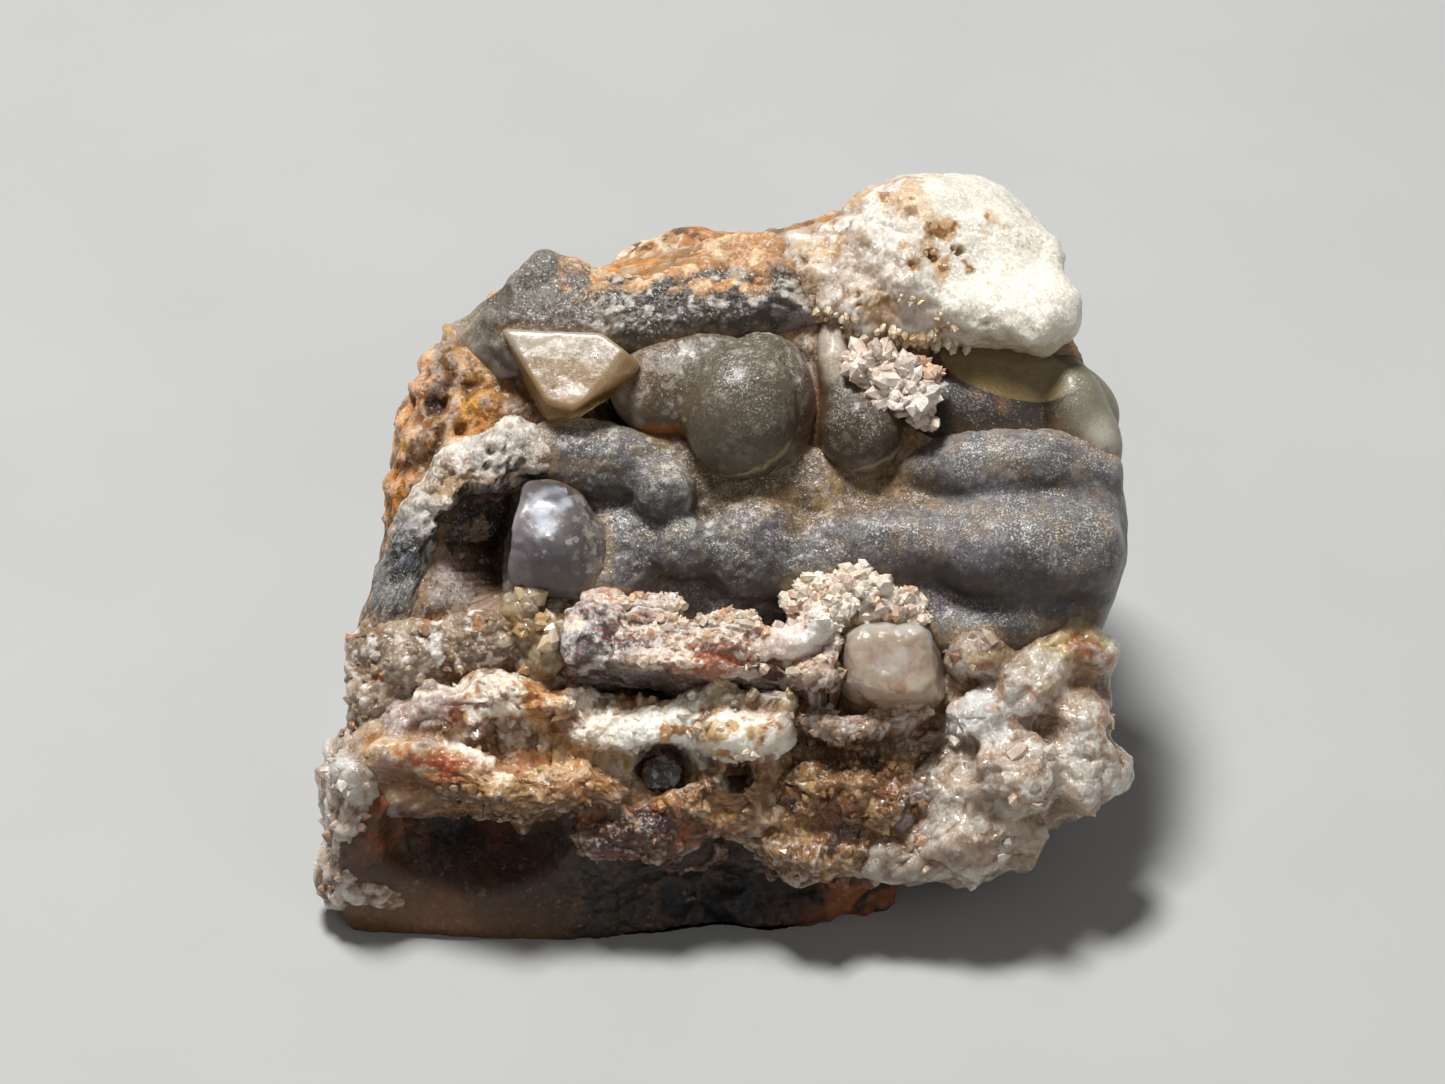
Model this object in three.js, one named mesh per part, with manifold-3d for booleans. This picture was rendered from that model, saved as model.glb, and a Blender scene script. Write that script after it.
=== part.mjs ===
// A fire agate specimen: one hand-sized stone of chalcedony on an iron-stained matrix, about 40 mm wide.
// It grew as one piece. A chipped block stands on a flat foot, and its front leans back in a slope. A white
// crust caps the right of the top and overhangs a recess. Agate drops hang in the recess, grey botryoidal
// rolls cross the slope, a layered ledge stands in front of them, and knobs of quartz fill the right side.
// Millimetres, +Z up, +Y away from the viewer, origin at the middle of the foot.
import * as THREE from "three";
import { mergeVertices } from "three/addons/utils/BufferGeometryUtils.js";
import Module from "manifold-3d";

const wasm = await Module();
wasm.setup();

// Driving dimensions of the block, in millimetres
const HEIGHT = 24.2; // top of the block, without the crust cap
const FRONT = 14.2; // front of the foot, from the origin
const BACK = 13.6;
const LEFT = 16.4;
const RIGHT = 17.6;
const HEART = [0, 0, 11]; // the point that the block's faces are measured from
const SLOPE = 43.3; // degrees that the front slope leans back from flat
const BRINK = [0, -14.5, 8]; // where the slope starts, above the foot's front
const SLOPE_DEPTH = 1.5; // the block's own face lies this far under the slope that the forms stand on

// Faceting
const BODY_CELL = 1.32; // side of a cell of the grid that the body's skin is taken from
const CRISP_CELL = 0.95; // and of the grids of the forms with a crisp outline
const WIDE = 2; // times as wide, the cells where the stone is plain
const FOOT_CUT = 1.5; // the block reaches this far below the flat cut of its foot
const FINEST = 0.02; // edges shorter than this, left where skins cross, are closed up
const SLOPE_STEP = 0.05; // the step over which a field's slope is measured
const WELD = 1e-3; // millimetres within which vertices are one

const radians = THREE.MathUtils.degToRad;
const point = (list) => new THREE.Vector3(...list);

// Places on the slope are given as millimetres across it, up it and out of it
const LEVEL = new THREE.Matrix4();
const ON_SLOPE = new THREE.Matrix4().makeRotationX(radians(SLOPE)).setPosition(point(BRINK));

// A repeatable value between -1 and 1 for each whole-numbered point of space
function latticeValue(x, y, z) {
  let mixed = (Math.imul(x, 374761393) + Math.imul(y, 668265263) + Math.imul(z, 1442695041)) | 0;
  mixed = Math.imul(mixed ^ (mixed >>> 13), 1274126177);
  return (((mixed ^ (mixed >>> 16)) >>> 0) / 4294967295) * 2 - 1;
}

// Smooth noise: the eight lattice values round a place, blended with an S-shaped fade
function noise(place, size) {
  const at = [place.x / size, place.y / size, place.z / size];
  const cell = at.map(Math.floor);
  const fade = at.map((value, i) => {
    const part = value - cell[i];
    return part * part * (3 - 2 * part);
  });
  let sum = 0;
  for (let corner = 0; corner < 8; corner++) {
    const step = [corner & 1, (corner >> 1) & 1, (corner >> 2) & 1];
    const weight = step.reduce((w, s, i) => w * (s ? fade[i] : 1 - fade[i]), 1);
    sum += weight * latticeValue(cell[0] + step[0], cell[1] + step[1], cell[2] + step[2]);
  }
  return sum;
}

// Distances: below zero inside a form, above zero outside it

// The turn that brings a place into a form's own axes
function unturned(turn) {
  return new THREE.Quaternion().setFromEuler(new THREE.Euler(...turn.map(radians), "ZYX")).invert();
}

// A ball squeezed to three half sizes, and turned
function ball({ at, half, turn = [0, 0, 0] }) {
  const middle = point(at);
  const back = unturned(turn);
  return (place) => {
    const local = place.clone().sub(middle).applyQuaternion(back);
    const scaled = Math.hypot(local.x / half[0], local.y / half[1], local.z / half[2]);
    const steep = Math.hypot(local.x / half[0] ** 2, local.y / half[1] ** 2, local.z / half[2] ** 2);
    return steep < 1e-6 ? -Math.min(...half) : (scaled * (scaled - 1)) / steep;
  };
}

// A slab with rounded edges, turned
function slab({ at, half, turn = [0, 0, 0], round = 0.4 }) {
  const middle = point(at);
  const back = unturned(turn);
  return (place) => {
    const local = place.clone().sub(middle).applyQuaternion(back);
    const over = [local.x, local.y, local.z].map((value, i) => Math.abs(value) - half[i] + round);
    const beyond = Math.hypot(...over.map((value) => Math.max(value, 0)));
    return beyond + Math.min(Math.max(...over), 0) - round;
  };
}

// A roll: a round rod through a row of places, with a radius at each
function roll({ path, radii }) {
  const places = path.map(point);
  return (place) => {
    let nearest = Infinity;
    for (let i = 0; i + 1 < places.length; i++) {
      const along = places[i + 1].clone().sub(places[i]);
      const from = place.clone().sub(places[i]);
      const share = THREE.MathUtils.clamp(from.dot(along) / along.lengthSq(), 0, 1);
      const radius = THREE.MathUtils.lerp(radii[i], radii[i + 1], share);
      nearest = Math.min(nearest, from.addScaledVector(along, -share).length() - radius);
    }
    return nearest;
  };
}

// Two distances joined with a fillet, or the second form cut out of the first
function joined(a, b, fillet) {
  const mix = Math.max(fillet - Math.abs(a - b), 0) / fillet;
  return Math.min(a, b) - (mix * mix * fillet) / 4;
}
const without = (a, b, fillet) => -joined(-a, b, fillet);

// The lines of a grid along one axis: close together from near to far, and wider beyond them,
// out past low and high
function gridLines({ near, far, low = near, high = far, gap }) {
  const lines = Array.from({ length: Math.ceil((far - near) / gap) + 1 }, (_, i) => near + i * gap);
  const [below, above] = [near - low, high - far].map((over) => Math.ceil(over / (WIDE * gap)) + 2);
  for (let i = 0; i < below; i++) lines.unshift(lines[0] - (low < near ? WIDE : 1) * gap);
  for (let i = 0; i < above; i++) lines.push(lines.at(-1) + (high > far ? WIDE : 1) * gap);
  return lines;
}

// Surface nets: the skin where a field of distances passes through zero. The field is measured at the nodes
// of a grid, whose lines are given for each axis. Each patch of skin that crosses a cell gets one vertex,
// and each grid edge that the skin crosses gets a quad between the patches of the four cells round it.
function surfaceNets(distance, lines) {
  const axes = [0, 1, 2];
  const count = lines.map((along) => along.length);
  const stride = [1, count[0], count[0] * count[1]];
  const reach = Math.min(...lines[0].slice(1).map((line, i) => line - lines[0][i])) / 3;
  const stepOn = (axis) => stride[(axis + 1) % 3];
  const stepOver = (axis) => stride[(axis + 2) % 3];
  const lineOf = (node, axis) => Math.floor(node / stride[axis]) % count[axis];
  const placeOf = (node) => point(axes.map((axis) => lines[axis][lineOf(node, axis)]));
  const depth = Float64Array.from({ length: count[2] * stride[2] }, (_, node) => distance(placeOf(node)));

  // A grid edge is named by the node that it starts at and its axis
  const edgeName = (node, axis) => node * 3 + axis;
  const isCrossed = ({ node, axis }) => depth[node] < 0 !== depth[node + stride[axis]] < 0;
  function crossing({ node, axis }) {
    const [near, far] = [depth[node], depth[node + stride[axis]]];
    return placeOf(node).lerp(placeOf(node + stride[axis]), near / (near - far));
  }

  // The crossed edges of one cell face, in pairs that a line of the skin joins. Where all four are crossed,
  // each corner that is inside the stone keeps the two edges that meet in it.
  function pairsOnFace(node, axis) {
    const [on, over] = [(axis + 1) % 3, (axis + 2) % 3];
    const edges = [
      { node, axis: on },
      { node: node + stride[on], axis: over },
      { node: node + stride[over], axis: on },
      { node, axis: over },
    ];
    const crossed = edges.filter(isCrossed);
    if (crossed.length < 4) return crossed.length ? [crossed] : [];
    const [first, second, third, fourth] = edges;
    return depth[node] < 0 ? [[first, fourth], [second, third]] : [[first, second], [third, fourth]];
  }

  // The patches of skin in one cell: each is a map of the crossed edges that its face lines join up
  function patchesIn(cell) {
    const patches = [];
    for (const axis of axes)
      for (const node of [cell, cell + stride[axis]])
        for (const pair of pairsOnFace(node, axis)) {
          const named = new Map(pair.map((edge) => [edgeName(edge.node, edge.axis), edge]));
          const met = patches.filter((patch) => [...named.keys()].some((name) => patch.has(name)));
          met.forEach((patch) => patches.splice(patches.indexOf(patch), 1));
          patches.push(new Map([...named, ...met.flatMap((patch) => [...patch])]));
        }
    return patches;
  }

  // A vertex moves along the field's slope on to the skin, by a third of a cell at most
  function settle(place) {
    const here = distance(place);
    const slope = point(axes.map((axis) => {
      const beside = place.clone().setComponent(axis, place.getComponent(axis) + SLOPE_STEP);
      return distance(beside) - here;
    }));
    return place.addScaledVector(slope.normalize(), THREE.MathUtils.clamp(-here, -reach, reach));
  }

  // One vertex for each patch. Those that share a cell stay apart, so they aren't moved.
  const positions = [];
  const vertexAt = new Map();
  for (let cell = 0; cell < depth.length; cell++) {
    if (axes.some((axis) => lineOf(cell, axis) > count[axis] - 2)) continue;
    const patches = patchesIn(cell);
    for (const patch of patches) {
      const middle = new THREE.Vector3();
      for (const edge of patch.values()) middle.add(crossing(edge));
      middle.divideScalar(patch.size);
      for (const name of patch.keys()) vertexAt.set(`${cell} ${name}`, positions.length);
      positions.push(patches.length > 1 ? middle : settle(middle));
    }
  }

  // One quad for each crossed edge, parted along its shorter diagonal
  const index = [];
  for (let node = 0; node < depth.length; node++)
    for (const axis of axes) {
      const edge = { node, axis };
      const atBorder = axes.some((a) => lineOf(node, a) < 1 || lineOf(node, a) > count[a] - 2);
      if (atBorder || !isCrossed(edge)) continue;
      const [on, over] = [stepOn(axis), stepOver(axis)];
      const cells = [node - on - over, node - over, node, node - on];
      const [p, q, r, s] = cells.map((cell) => vertexAt.get(`${cell} ${edgeName(node, axis)}`));
      const shortWay = positions[p].distanceTo(positions[r]) < positions[q].distanceTo(positions[s]);
      const quad = shortWay ? [p, q, r, p, r, s] : [p, q, s, q, r, s];
      index.push(...(depth[node] < 0 ? quad : quad.reverse()));
    }
  return new THREE.BufferGeometry().setFromPoints(positions).setIndex(index);
}

// A closed solid from a geometry, whose shared vertices are merged
function solidOf(geometry) {
  const bare = geometry.clone();
  bare.deleteAttribute("normal");
  bare.deleteAttribute("uv");
  const merged = mergeVertices(bare, WELD);
  const corners = merged.index.array;
  const triangles = [];
  for (let t = 0; t < corners.length; t += 3) {
    const [a, b, c] = corners.slice(t, t + 3);
    if (a !== b && b !== c && a !== c) triangles.push(a, b, c);
  }
  return new wasm.Manifold(new wasm.Mesh({
    numProp: 3,
    vertProperties: merged.attributes.position.array,
    triVerts: new Uint32Array(triangles),
  }));
}

// A zone's distance: its forms joined with fillets, its cuts taken out, and its surface roughened
function zoneDistance({ forms, cuts = [], fillet, rough, grain }) {
  return (place) => {
    const raised = forms.map((form) => form(place)).reduce((a, b) => joined(a, b, fillet));
    const broken = cuts.map((cut) => cut(place)).reduce((a, b) => without(a, b, fillet), raised);
    return broken - rough * noise(place, grain);
  };
}

// A quartz crystal: a six-sided prism with a point, its root at the origin
function crystal({ at, looks, length, width }) {
  const profile = [[0, 0], [width / 2, 0.02], [width / 2, length - width * 0.6], [0, length]];
  const geometry = new THREE.LatheGeometry(profile.map(([r, h]) => new THREE.Vector2(r, h)), 6);
  geometry.applyQuaternion(new THREE.Quaternion().setFromUnitVectors(THREE.Object3D.DEFAULT_UP, looks));
  return solidOf(geometry.translate(...at));
}

// A druse: crystals that point every way out of one ball, in a sunflower spread over its outer side
function druse({ at, half, looks, spread, count, length, width, frame }) {
  const outward = point(looks).transformDirection(frame);
  const middle = point(at).applyMatrix4(frame);
  const turned = new THREE.Quaternion().setFromUnitVectors(new THREE.Vector3(0, 0, 1), outward);
  const golden = Math.PI * (3 - Math.sqrt(5));
  return Array.from({ length: count }, (_, i) => {
    const away = Math.acos(1 - (1 - Math.cos(radians(spread))) * ((i + 0.5) / count));
    const direction = new THREE.Vector3().setFromSphericalCoords(1, away, i * golden)
      .applyEuler(new THREE.Euler(Math.PI / 2, 0, 0)).applyQuaternion(turned);
    const vary = 1 + 0.35 * latticeValue(i, count, 7);
    const root = middle.clone().add(direction.clone().multiply(point(half)).multiplyScalar(0.7));
    return crystal({ at: root.toArray(), looks: direction, length: length * vary, width: width * vary });
  });
}

// The block: the way each face looks and its distance from the heart. The last rows take corners off.
const slopeLooks = [0, -Math.sin(radians(SLOPE)), Math.cos(radians(SLOPE))];
const slopeAway = point(BRINK).sub(point(HEART)).dot(point(slopeLooks)) - SLOPE_DEPTH;
const FACES = [
  { looks: [0, 0, -1], away: HEART[2] + FOOT_CUT },
  { looks: [0, -1, 0.02], away: FRONT },
  { looks: slopeLooks, away: slopeAway },
  { looks: [-0.1, -0.1, 1], away: HEIGHT - HEART[2] },
  { looks: [-0.18, 0.64, 0.76], away: 15.3 },
  { looks: [0, 1, 0.1], away: BACK },
  { looks: [0, 0.8, -0.6], away: 15.2 },
  { looks: [-0.99, 0.08, 0.1], away: LEFT },
  { looks: [-0.83, 0.36, 0.43], away: LEFT + 0.9 },
  { looks: [-0.62, 0.5, 0.6], away: LEFT + 0.6 },
  { looks: [1, 0, 0.02], away: RIGHT },
  { looks: [0.37, 0.6, 0.71], away: 20 },
  { looks: [0.9, 0.28, 0.33], away: 20.6 },
  { looks: [0.55, -0.76, -0.34], away: 16.6 },
  { looks: [0.72, 0.69, -0.1], away: 18.6 },
].map(({ looks, away }) => ({ normal: point(looks).normalize(), away }));
const BLOCK_FILLET = 2;
const HOLLOW_FILLET = 0.6;

// Hollows in the block: two under the top, one beside the lens, pits, and two in front of the foot
const HOLLOWS = [
  { frame: ON_SLOPE, form: ball({ at: [13, 20.0, -0.6], half: [6.8, 2.9, 3.8] }) },
  { frame: ON_SLOPE, form: ball({ at: [0.2, 19.0, -0.8], half: [8.6, 3.2, 3.4] }) },
  { frame: ON_SLOPE, form: ball({ at: [-11.2, 12.6, -0.6], half: [2.5, 3.4, 3.0] }) },
  { frame: ON_SLOPE, form: ball({ at: [-3.2, 5.4, -1.0], half: [6.0, 0.9, 2.2] }) },
  { frame: LEVEL, form: ball({ at: [-12.2, -15.8, 6.0], half: [5.2, 5.4, 3.7] }) },
  { frame: LEVEL, form: ball({ at: [1.6, -16.4, 2.0], half: [9.5, 3.7, 2.9] }) },
  { frame: LEVEL, form: ball({ at: [-13.4, -2.2, 20.6], half: [1.3, 1.3, 1.3] }) },
  { frame: LEVEL, form: ball({ at: [-14.8, 0.6, 17.4], half: [1.2, 1.5, 1.5] }) },
].map(({ frame, form }) => ({ form, inverse: frame.clone().invert() }));

// The block's distance: all of its faces at once, the hollows taken out, and the whole roughened
function blockDistance(place) {
  const local = place.clone().sub(point(HEART));
  const faced = FACES.map(({ normal, away }) => normal.dot(local) - away)
    .reduce((a, b) => without(a, -b, BLOCK_FILLET));
  const hollowed = HOLLOWS.reduce(
    (a, { form, inverse }) => without(a, form(place.clone().applyMatrix4(inverse)), HOLLOW_FILLET), faced);
  return hollowed - 0.6 * noise(place, 7) - 0.4 * noise(place, 2.8);
}

// The white crust cap on the right of the top, with a ragged brow over the recess
const CAP = {
  frame: LEVEL, fillet: 1.2, rough: 0.4, grain: 2.2,
  forms: [
    slab({ at: [12.3, 4.8, 25.2], half: [5.0, 3.6, 1.7], turn: [28, 17, 0], round: 1.4 }),
    ball({ at: [9.6, 6.2, 26.2], half: [3.2, 2.8, 2.2], turn: [30, -4, 0] }),
    ball({ at: [6.6, 5.4, 24.8], half: [3.6, 2.8, 1.5], turn: [30, -20, 0] }),
    ball({ at: [15.4, 3.0, 23.4], half: [2.0, 2.0, 2.0], turn: [10, 12, 0] }),
    ball({ at: [6.4, 2.8, 23.9], half: [2.4, 1.6, 0.9], turn: [30, 0, -8] }),
    ball({ at: [11.6, 8.2, 24.2], half: [5.0, 4.0, 2.9], turn: [-6, 14, 0] }),
  ],
};

// The olive agate under the right of the cap: a flat leaf-shaped face that leans in, and the flank by it
const LEAF = {
  frame: ON_SLOPE, fillet: 0.5, rough: 0.2, grain: 2.5,
  forms: [
    slab({ at: [14.6, 21.4, -2.4], half: [3.6, 2.6, 1.2], turn: [-26, 8, -16], round: 0.3 }),
    ball({ at: [17.2, 17.6, -1.8], half: [1.3, 2.6, 1.6] }),
    ball({ at: [18.0, 17.8, -1.4], half: [0.9, 1.2, 0.9] }),
  ],
};

// The agate lip along the top left, with a knob on its end: it overhangs the drops
const LIP = {
  frame: LEVEL, fillet: 1.0, rough: 0.25, grain: 2.6,
  forms: [
    roll({
      path: [[-12.6, 3.0, 20.0], [-9.4, 2.8, 21.9], [-4.4, 2.8, 22.7], [0.8, 3.0, 23.2], [4.0, 4.0, 23.6]],
      radii: [1.3, 1.7, 1.8, 1.8, 1.4],
    }),
    ball({ at: [-8.4, 5.6, 22.9], half: [2.2, 2.2, 1.6] }),
    ball({ at: [1.6, 6.6, 23.9], half: [4.6, 3.2, 1.6], turn: [0, -6, 0] }),
  ],
};

// Agate drops that hang in the recess
const BIG_DROPS = {
  frame: ON_SLOPE, fillet: 0.4, rough: 0.1, grain: 2, around: [[-6.3, 14.9, -4.6], [5.4, 23.6, 3]],
  forms: [
    ball({ at: [0.9, 18.8, -0.3], half: [2.95, 3.3, 2.5] }),
    ball({ at: [2.3, 19.6, -1.2], half: [2.4, 3.5, 2.3] }),
    ball({ at: [-2.7, 19.5, -0.9], half: [3.0, 2.1, 2.0], turn: [0, 0, -14] }),
  ],
};
const SMALL_DROP = {
  frame: ON_SLOPE, fillet: 0.5, rough: 0.06, grain: 2, around: [[3.7, 15.1, -3.6], [9.5, 24.1, 1.8]],
  forms: [
    ball({ at: [6.6, 18.0, -0.9], half: [2.1, 2.2, 1.9] }),
    ball({ at: [5.4, 20.8, -1.0], half: [0.8, 2.6, 0.8] }),
  ],
};

// The pale broken wedge under the left of the lip: flat faces, a point hanging down
const WEDGE = {
  frame: ON_SLOPE, fillet: 0.1, rough: 0.05, grain: 1.4, around: [[-11.1, 17.8, -2.9], [-3.2, 23.8, 2.5]],
  forms: [slab({ at: [-7.2, 20.4, -0.3], half: [3.4, 1.6, 1.4], turn: [-14, 12, -4], round: 0.15 })],
  cuts: [
    slab({ at: [-11.2, 18.6, 0], half: [3, 1.6, 4], turn: [0, 0, -48] }),
    slab({ at: [-3.8, 17.9, 0], half: [3.4, 1.5, 4], turn: [0, 0, 30] }),
  ],
};

// Grey botryoidal rolls on the right of the slope
const RIGHT_ROLLS = {
  frame: ON_SLOPE, fillet: 0.4, rough: 0.2, grain: 2.6,
  forms: [
    roll({
      path: [[10.6, 15.6, -1.4], [12.4, 16.2, -0.8], [15.0, 16.3, -0.4], [17.2, 15.6, -0.8]],
      radii: [0.9, 1.5, 1.7, 1.5],
    }),
    roll({
      path: [
        [4.4, 12.9, -1.2], [7.5, 12.3, -0.7], [10.9, 12.1, -0.2], [14.7, 12.3, 0.2], [17.4, 12.0, -0.6],
      ],
      radii: [1.3, 1.6, 2.1, 2.4, 2.2],
    }),
    roll({ path: [[10.0, 7.6, -1.6], [13.2, 8.8, -1.2], [16.6, 9.2, -1.2]], radii: [1.5, 1.6, 1.4] }),
  ],
};

// The rolls and globules on the left and in the middle of it
const LEFT_ROLLS = {
  frame: ON_SLOPE, fillet: 0.3, rough: 0.16, grain: 2.4,
  forms: [
    roll({
      path: [[-9.2, 17.2, -1.2], [-6.3, 17.0, -0.5], [-4.0, 16.3, -0.2], [-2.8, 15.2, -0.4]],
      radii: [1.1, 1.5, 1.6, 1.6],
    }),
    ball({ at: [-2.7, 14.6, 0], half: [1.5, 1.4, 1.5] }),
    ball({ at: [-1.8, 12.0, -0.4], half: [1.5, 1.4, 1.4] }),
    ball({ at: [-4.8, 12.7, -1.0], half: [1.7, 1.6, 1.3] }),
    ball({ at: [1.6, 12.4, -0.8], half: [2.6, 2.1, 1.7] }),
    ball({ at: [0.6, 14.8, -1.4], half: [2.2, 1.4, 1.2] }),
    ball({ at: [3.4, 15.2, -1.8], half: [2.2, 1.2, 1.2] }),
    ball({ at: [-5.6, 10.8, -0.8], half: [1.2, 1.2, 1.1] }),
    ball({ at: [4.2, 10.6, -1.2], half: [2.2, 1.4, 1.2] }),
  ],
};

// The glassy broken globule on the left, and the arched shell over the hollow beside it
const LENS = {
  frame: ON_SLOPE, fillet: 0.2, rough: 0.05, grain: 2, around: [[-10.9, 9.2, -3.1], [-5.2, 16.4, 2.7]],
  forms: [ball({ at: [-8.0, 12.8, -0.2], half: [2.1, 2.8, 2.1] })],
  cuts: [
    ball({ at: [-11.2, 13.8, 1.8], half: [2.6, 2.2, 2.4] }),
    ball({ at: [-10.9, 11.2, 1.6], half: [2.2, 1.5, 2.4] }),
  ],
};
const ARCH = {
  frame: ON_SLOPE, fillet: 0.4, rough: 0.2, grain: 1.4,
  forms: [
    roll({
      path: [
        [-15.6, 11.4, -0.8], [-14.4, 13.8, -0.2], [-12.6, 15.9, 0.2], [-10.6, 17.1, 0.1], [-9.0, 17.4, -0.6],
      ],
      radii: [0.8, 0.95, 1.1, 1.15, 1.0],
    }),
  ],
};

// The granular shoulder under the hollow, with clear crystals at its right end
const SHOULDER = {
  frame: ON_SLOPE, fillet: 0.6, rough: 0.35, grain: 1.5,
  forms: [
    ball({ at: [-13.6, 8.0, -1.2], half: [3.2, 1.8, 1.6], turn: [0, 14, 12] }),
    ball({ at: [-11.2, 8.1, -0.7], half: [1.5, 1.5, 1.4] }),
    ball({ at: [-8.4, 8.6, -0.6], half: [1.5, 2.1, 1.5] }),
    ball({ at: [-9.6, 6.6, -0.6], half: [1.6, 1.2, 1.4] }),
  ],
};

// The layered ledge in front of the rolls: plates that rise to the right, with a gap beneath them
const LEDGE = {
  frame: ON_SLOPE, fillet: 0.3, rough: 0.4, grain: 1.5,
  forms: [
    slab({ at: [-4.4, 8.4, -0.4], half: [3.4, 1.6, 1.8], turn: [-12, 0, 6], round: 0.7 }),
    slab({ at: [-1.6, 7.4, 0.4], half: [4.2, 1.3, 1.7], turn: [-16, 0, -5], round: 0.5 }),
    slab({ at: [2.6, 6.6, 0.1], half: [3.8, 1.1, 1.5], turn: [-20, 0, -7], round: 0.4 }),
    ball({ at: [-2.4, 9.5, 0.3], half: [0.8, 0.8, 0.8] }),
    ball({ at: [0.4, 8.9, 0], half: [1.8, 0.9, 0.9] }),
  ],
};

// The druzy crown and the white rib under it, and the clear lump on their right
const CROWN = {
  frame: ON_SLOPE, fillet: 0.4, rough: 0.3, grain: 1.2, around: [[-0.2, 5.5, -2.4], [10.6, 12.4, 3.2]],
  forms: [
    ball({ at: [6.4, 9.8, 0.6], half: [2.5, 1.3, 1.3] }),
    ball({ at: [4.3, 9.9, 0.4], half: [1.3, 0.9, 0.9] }),
    ball({ at: [8.2, 9.2, 0.2], half: [1.3, 1.1, 1.1] }),
    roll({ path: [[5.4, 9.2, 0.6], [3.4, 7.9, 1.0], [1.6, 7.2, 1.0]], radii: [1.1, 0.9, 0.6] }),
  ],
};
const CLEAR_LUMP = {
  frame: ON_SLOPE, fillet: 0.3, rough: 0.1, grain: 1.8, around: [[4.6, 3.5, -3.2], [11, 9.6, 3]],
  forms: [ball({ at: [7.8, 6.6, -0.1], half: [2.35, 2.1, 2.1] })],
  cuts: [slab({ at: [7.8, 9.2, 1.6], half: [3, 0.8, 1.6], turn: [-20, 0, 0] })],
};

// Knobs of quartz that make up the right shoulder, the lowest of them hanging clear of the ground
const QUARTZ = {
  frame: ON_SLOPE, fillet: 0.5, rough: 0.4, grain: 1.6,
  forms: [
    ball({ at: [14.6, 3.0, -4.0], half: [3.6, 4.4, 2.8] }),
    ball({ at: [12.4, 7.4, -0.6], half: [1.8, 1.4, 1.6] }),
    ball({ at: [16.4, 7.4, -1.2], half: [2.4, 1.9, 2.0] }),
    ball({ at: [14.4, 5.8, -0.8], half: [2.0, 1.8, 1.8] }),
    ball({ at: [12.2, 4.2, -0.6], half: [1.8, 1.5, 1.6] }),
    ball({ at: [17.0, 4.4, -1.8], half: [1.9, 2.1, 2.3] }),
    ball({ at: [13.6, 1.6, -0.6], half: [2.5, 2.4, 2.2] }),
    ball({ at: [17.2, 1.2, -2.2], half: [2.4, 2.3, 2.7] }),
    ball({ at: [17.4, -1.2, -3.8], half: [2.3, 1.6, 2.6] }),
    ball({ at: [10.8, 1.2, -1.2], half: [2.1, 2.0, 1.7] }),
    ball({ at: [11.8, -1.4, -1.6], half: [2.6, 2.0, 2.1] }),
    ball({ at: [14.0, -1.8, -3.4], half: [2.2, 2.0, 2.8] }),
    ball({ at: [11.4, -3.0, -3.8], half: [2.8, 1.6, 2.2] }),
    ball({ at: [8.4, -2.4, -2.6], half: [2.6, 1.8, 2.0] }),
  ],
};

// The dark blade under the ledge and the brown quartz below it, at the brink
const BLADE = {
  frame: ON_SLOPE, fillet: 0.4, rough: 0.35, grain: 1.4,
  forms: [
    roll({ path: [[2.6, 4.6, -0.3], [5.8, 3.6, 0.1], [9.4, 4.8, -0.3]], radii: [0.7, 0.9, 0.7] }),
    ball({ at: [6.4, 0.8, -1.4], half: [4.2, 2.0, 1.9] }),
    ball({ at: [4.4, -1.8, -2.2], half: [3.2, 1.7, 1.9] }),
  ],
};

// The pale seam across the front, with a pocket in it
const SEAM = {
  frame: ON_SLOPE, fillet: 0.5, rough: 0.4, grain: 1.6,
  forms: [
    ball({ at: [1.0, 3.4, -0.2], half: [2.4, 1.4, 1.5] }),
    ball({ at: [-3.4, 3.4, -0.9], half: [3.4, 1.6, 1.3] }),
    roll({
      path: [[-16.8, 3.4, -1.6], [-13.8, 4.6, -0.7], [-10.4, 5.2, -0.6], [-7.0, 4.6, -1.0]],
      radii: [0.9, 1.2, 1.3, 1.2],
    }),
    roll({
      path: [
        [-17.2, 1.4, -1.0], [-15.6, 2.8, -0.3], [-13.4, 2.2, -0.2], [-10.8, 1.0, -0.4], [-8.4, 1.2, -0.8],
        [-5.6, 0.8, -1.2],
      ],
      radii: [0.9, 1.1, 1.2, 1.4, 1.3, 1.2],
    }),
    ball({ at: [-0.6, 0.6, -1.3], half: [2.8, 1.6, 1.5] }),
    ball({ at: [-4.0, -1.0, -2.0], half: [3.4, 1.5, 1.6] }),
  ],
  cuts: [
    ball({ at: [-2.8, 2.1, 0], half: [1.35, 1.2, 1.7] }),
    ball({ at: [0.8, 1.5, -0.2], half: [0.7, 0.6, 1.2] }),
  ],
};

// The left corner of the foot, and the rusty edge along its front
const FOOT = {
  frame: LEVEL, fillet: 0.8, rough: 0.3, grain: 1.8,
  forms: [
    ball({ at: [-18.2, -10.8, 2.4], half: [1.7, 1.7, 1.9] }),
    ball({ at: [-17.2, -10.0, 6.6], half: [1.8, 2.6, 3.4] }),
    ball({ at: [-13.0, -12.2, 0.6], half: [5.4, 2.4, 2.8] }),
    ball({ at: [-8.0, -12.0, 1.2], half: [4.6, 1.9, 2.6] }),
  ],
};
const RUSTY_EDGE = {
  frame: LEVEL, fillet: 0.7, rough: 0.4, grain: 1.5,
  forms: [
    roll({
      path: [[-5.0, -13.2, 5.4], [-1.4, -13.4, 4.2], [2.6, -13.2, 3.6], [7.2, -12.8, 2.6]],
      radii: [0.9, 1.1, 1.2, 1.2],
    }),
    ball({ at: [2.4, -12.0, 0.4], half: [6.4, 1.6, 1.6] }),
  ],
};

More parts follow.
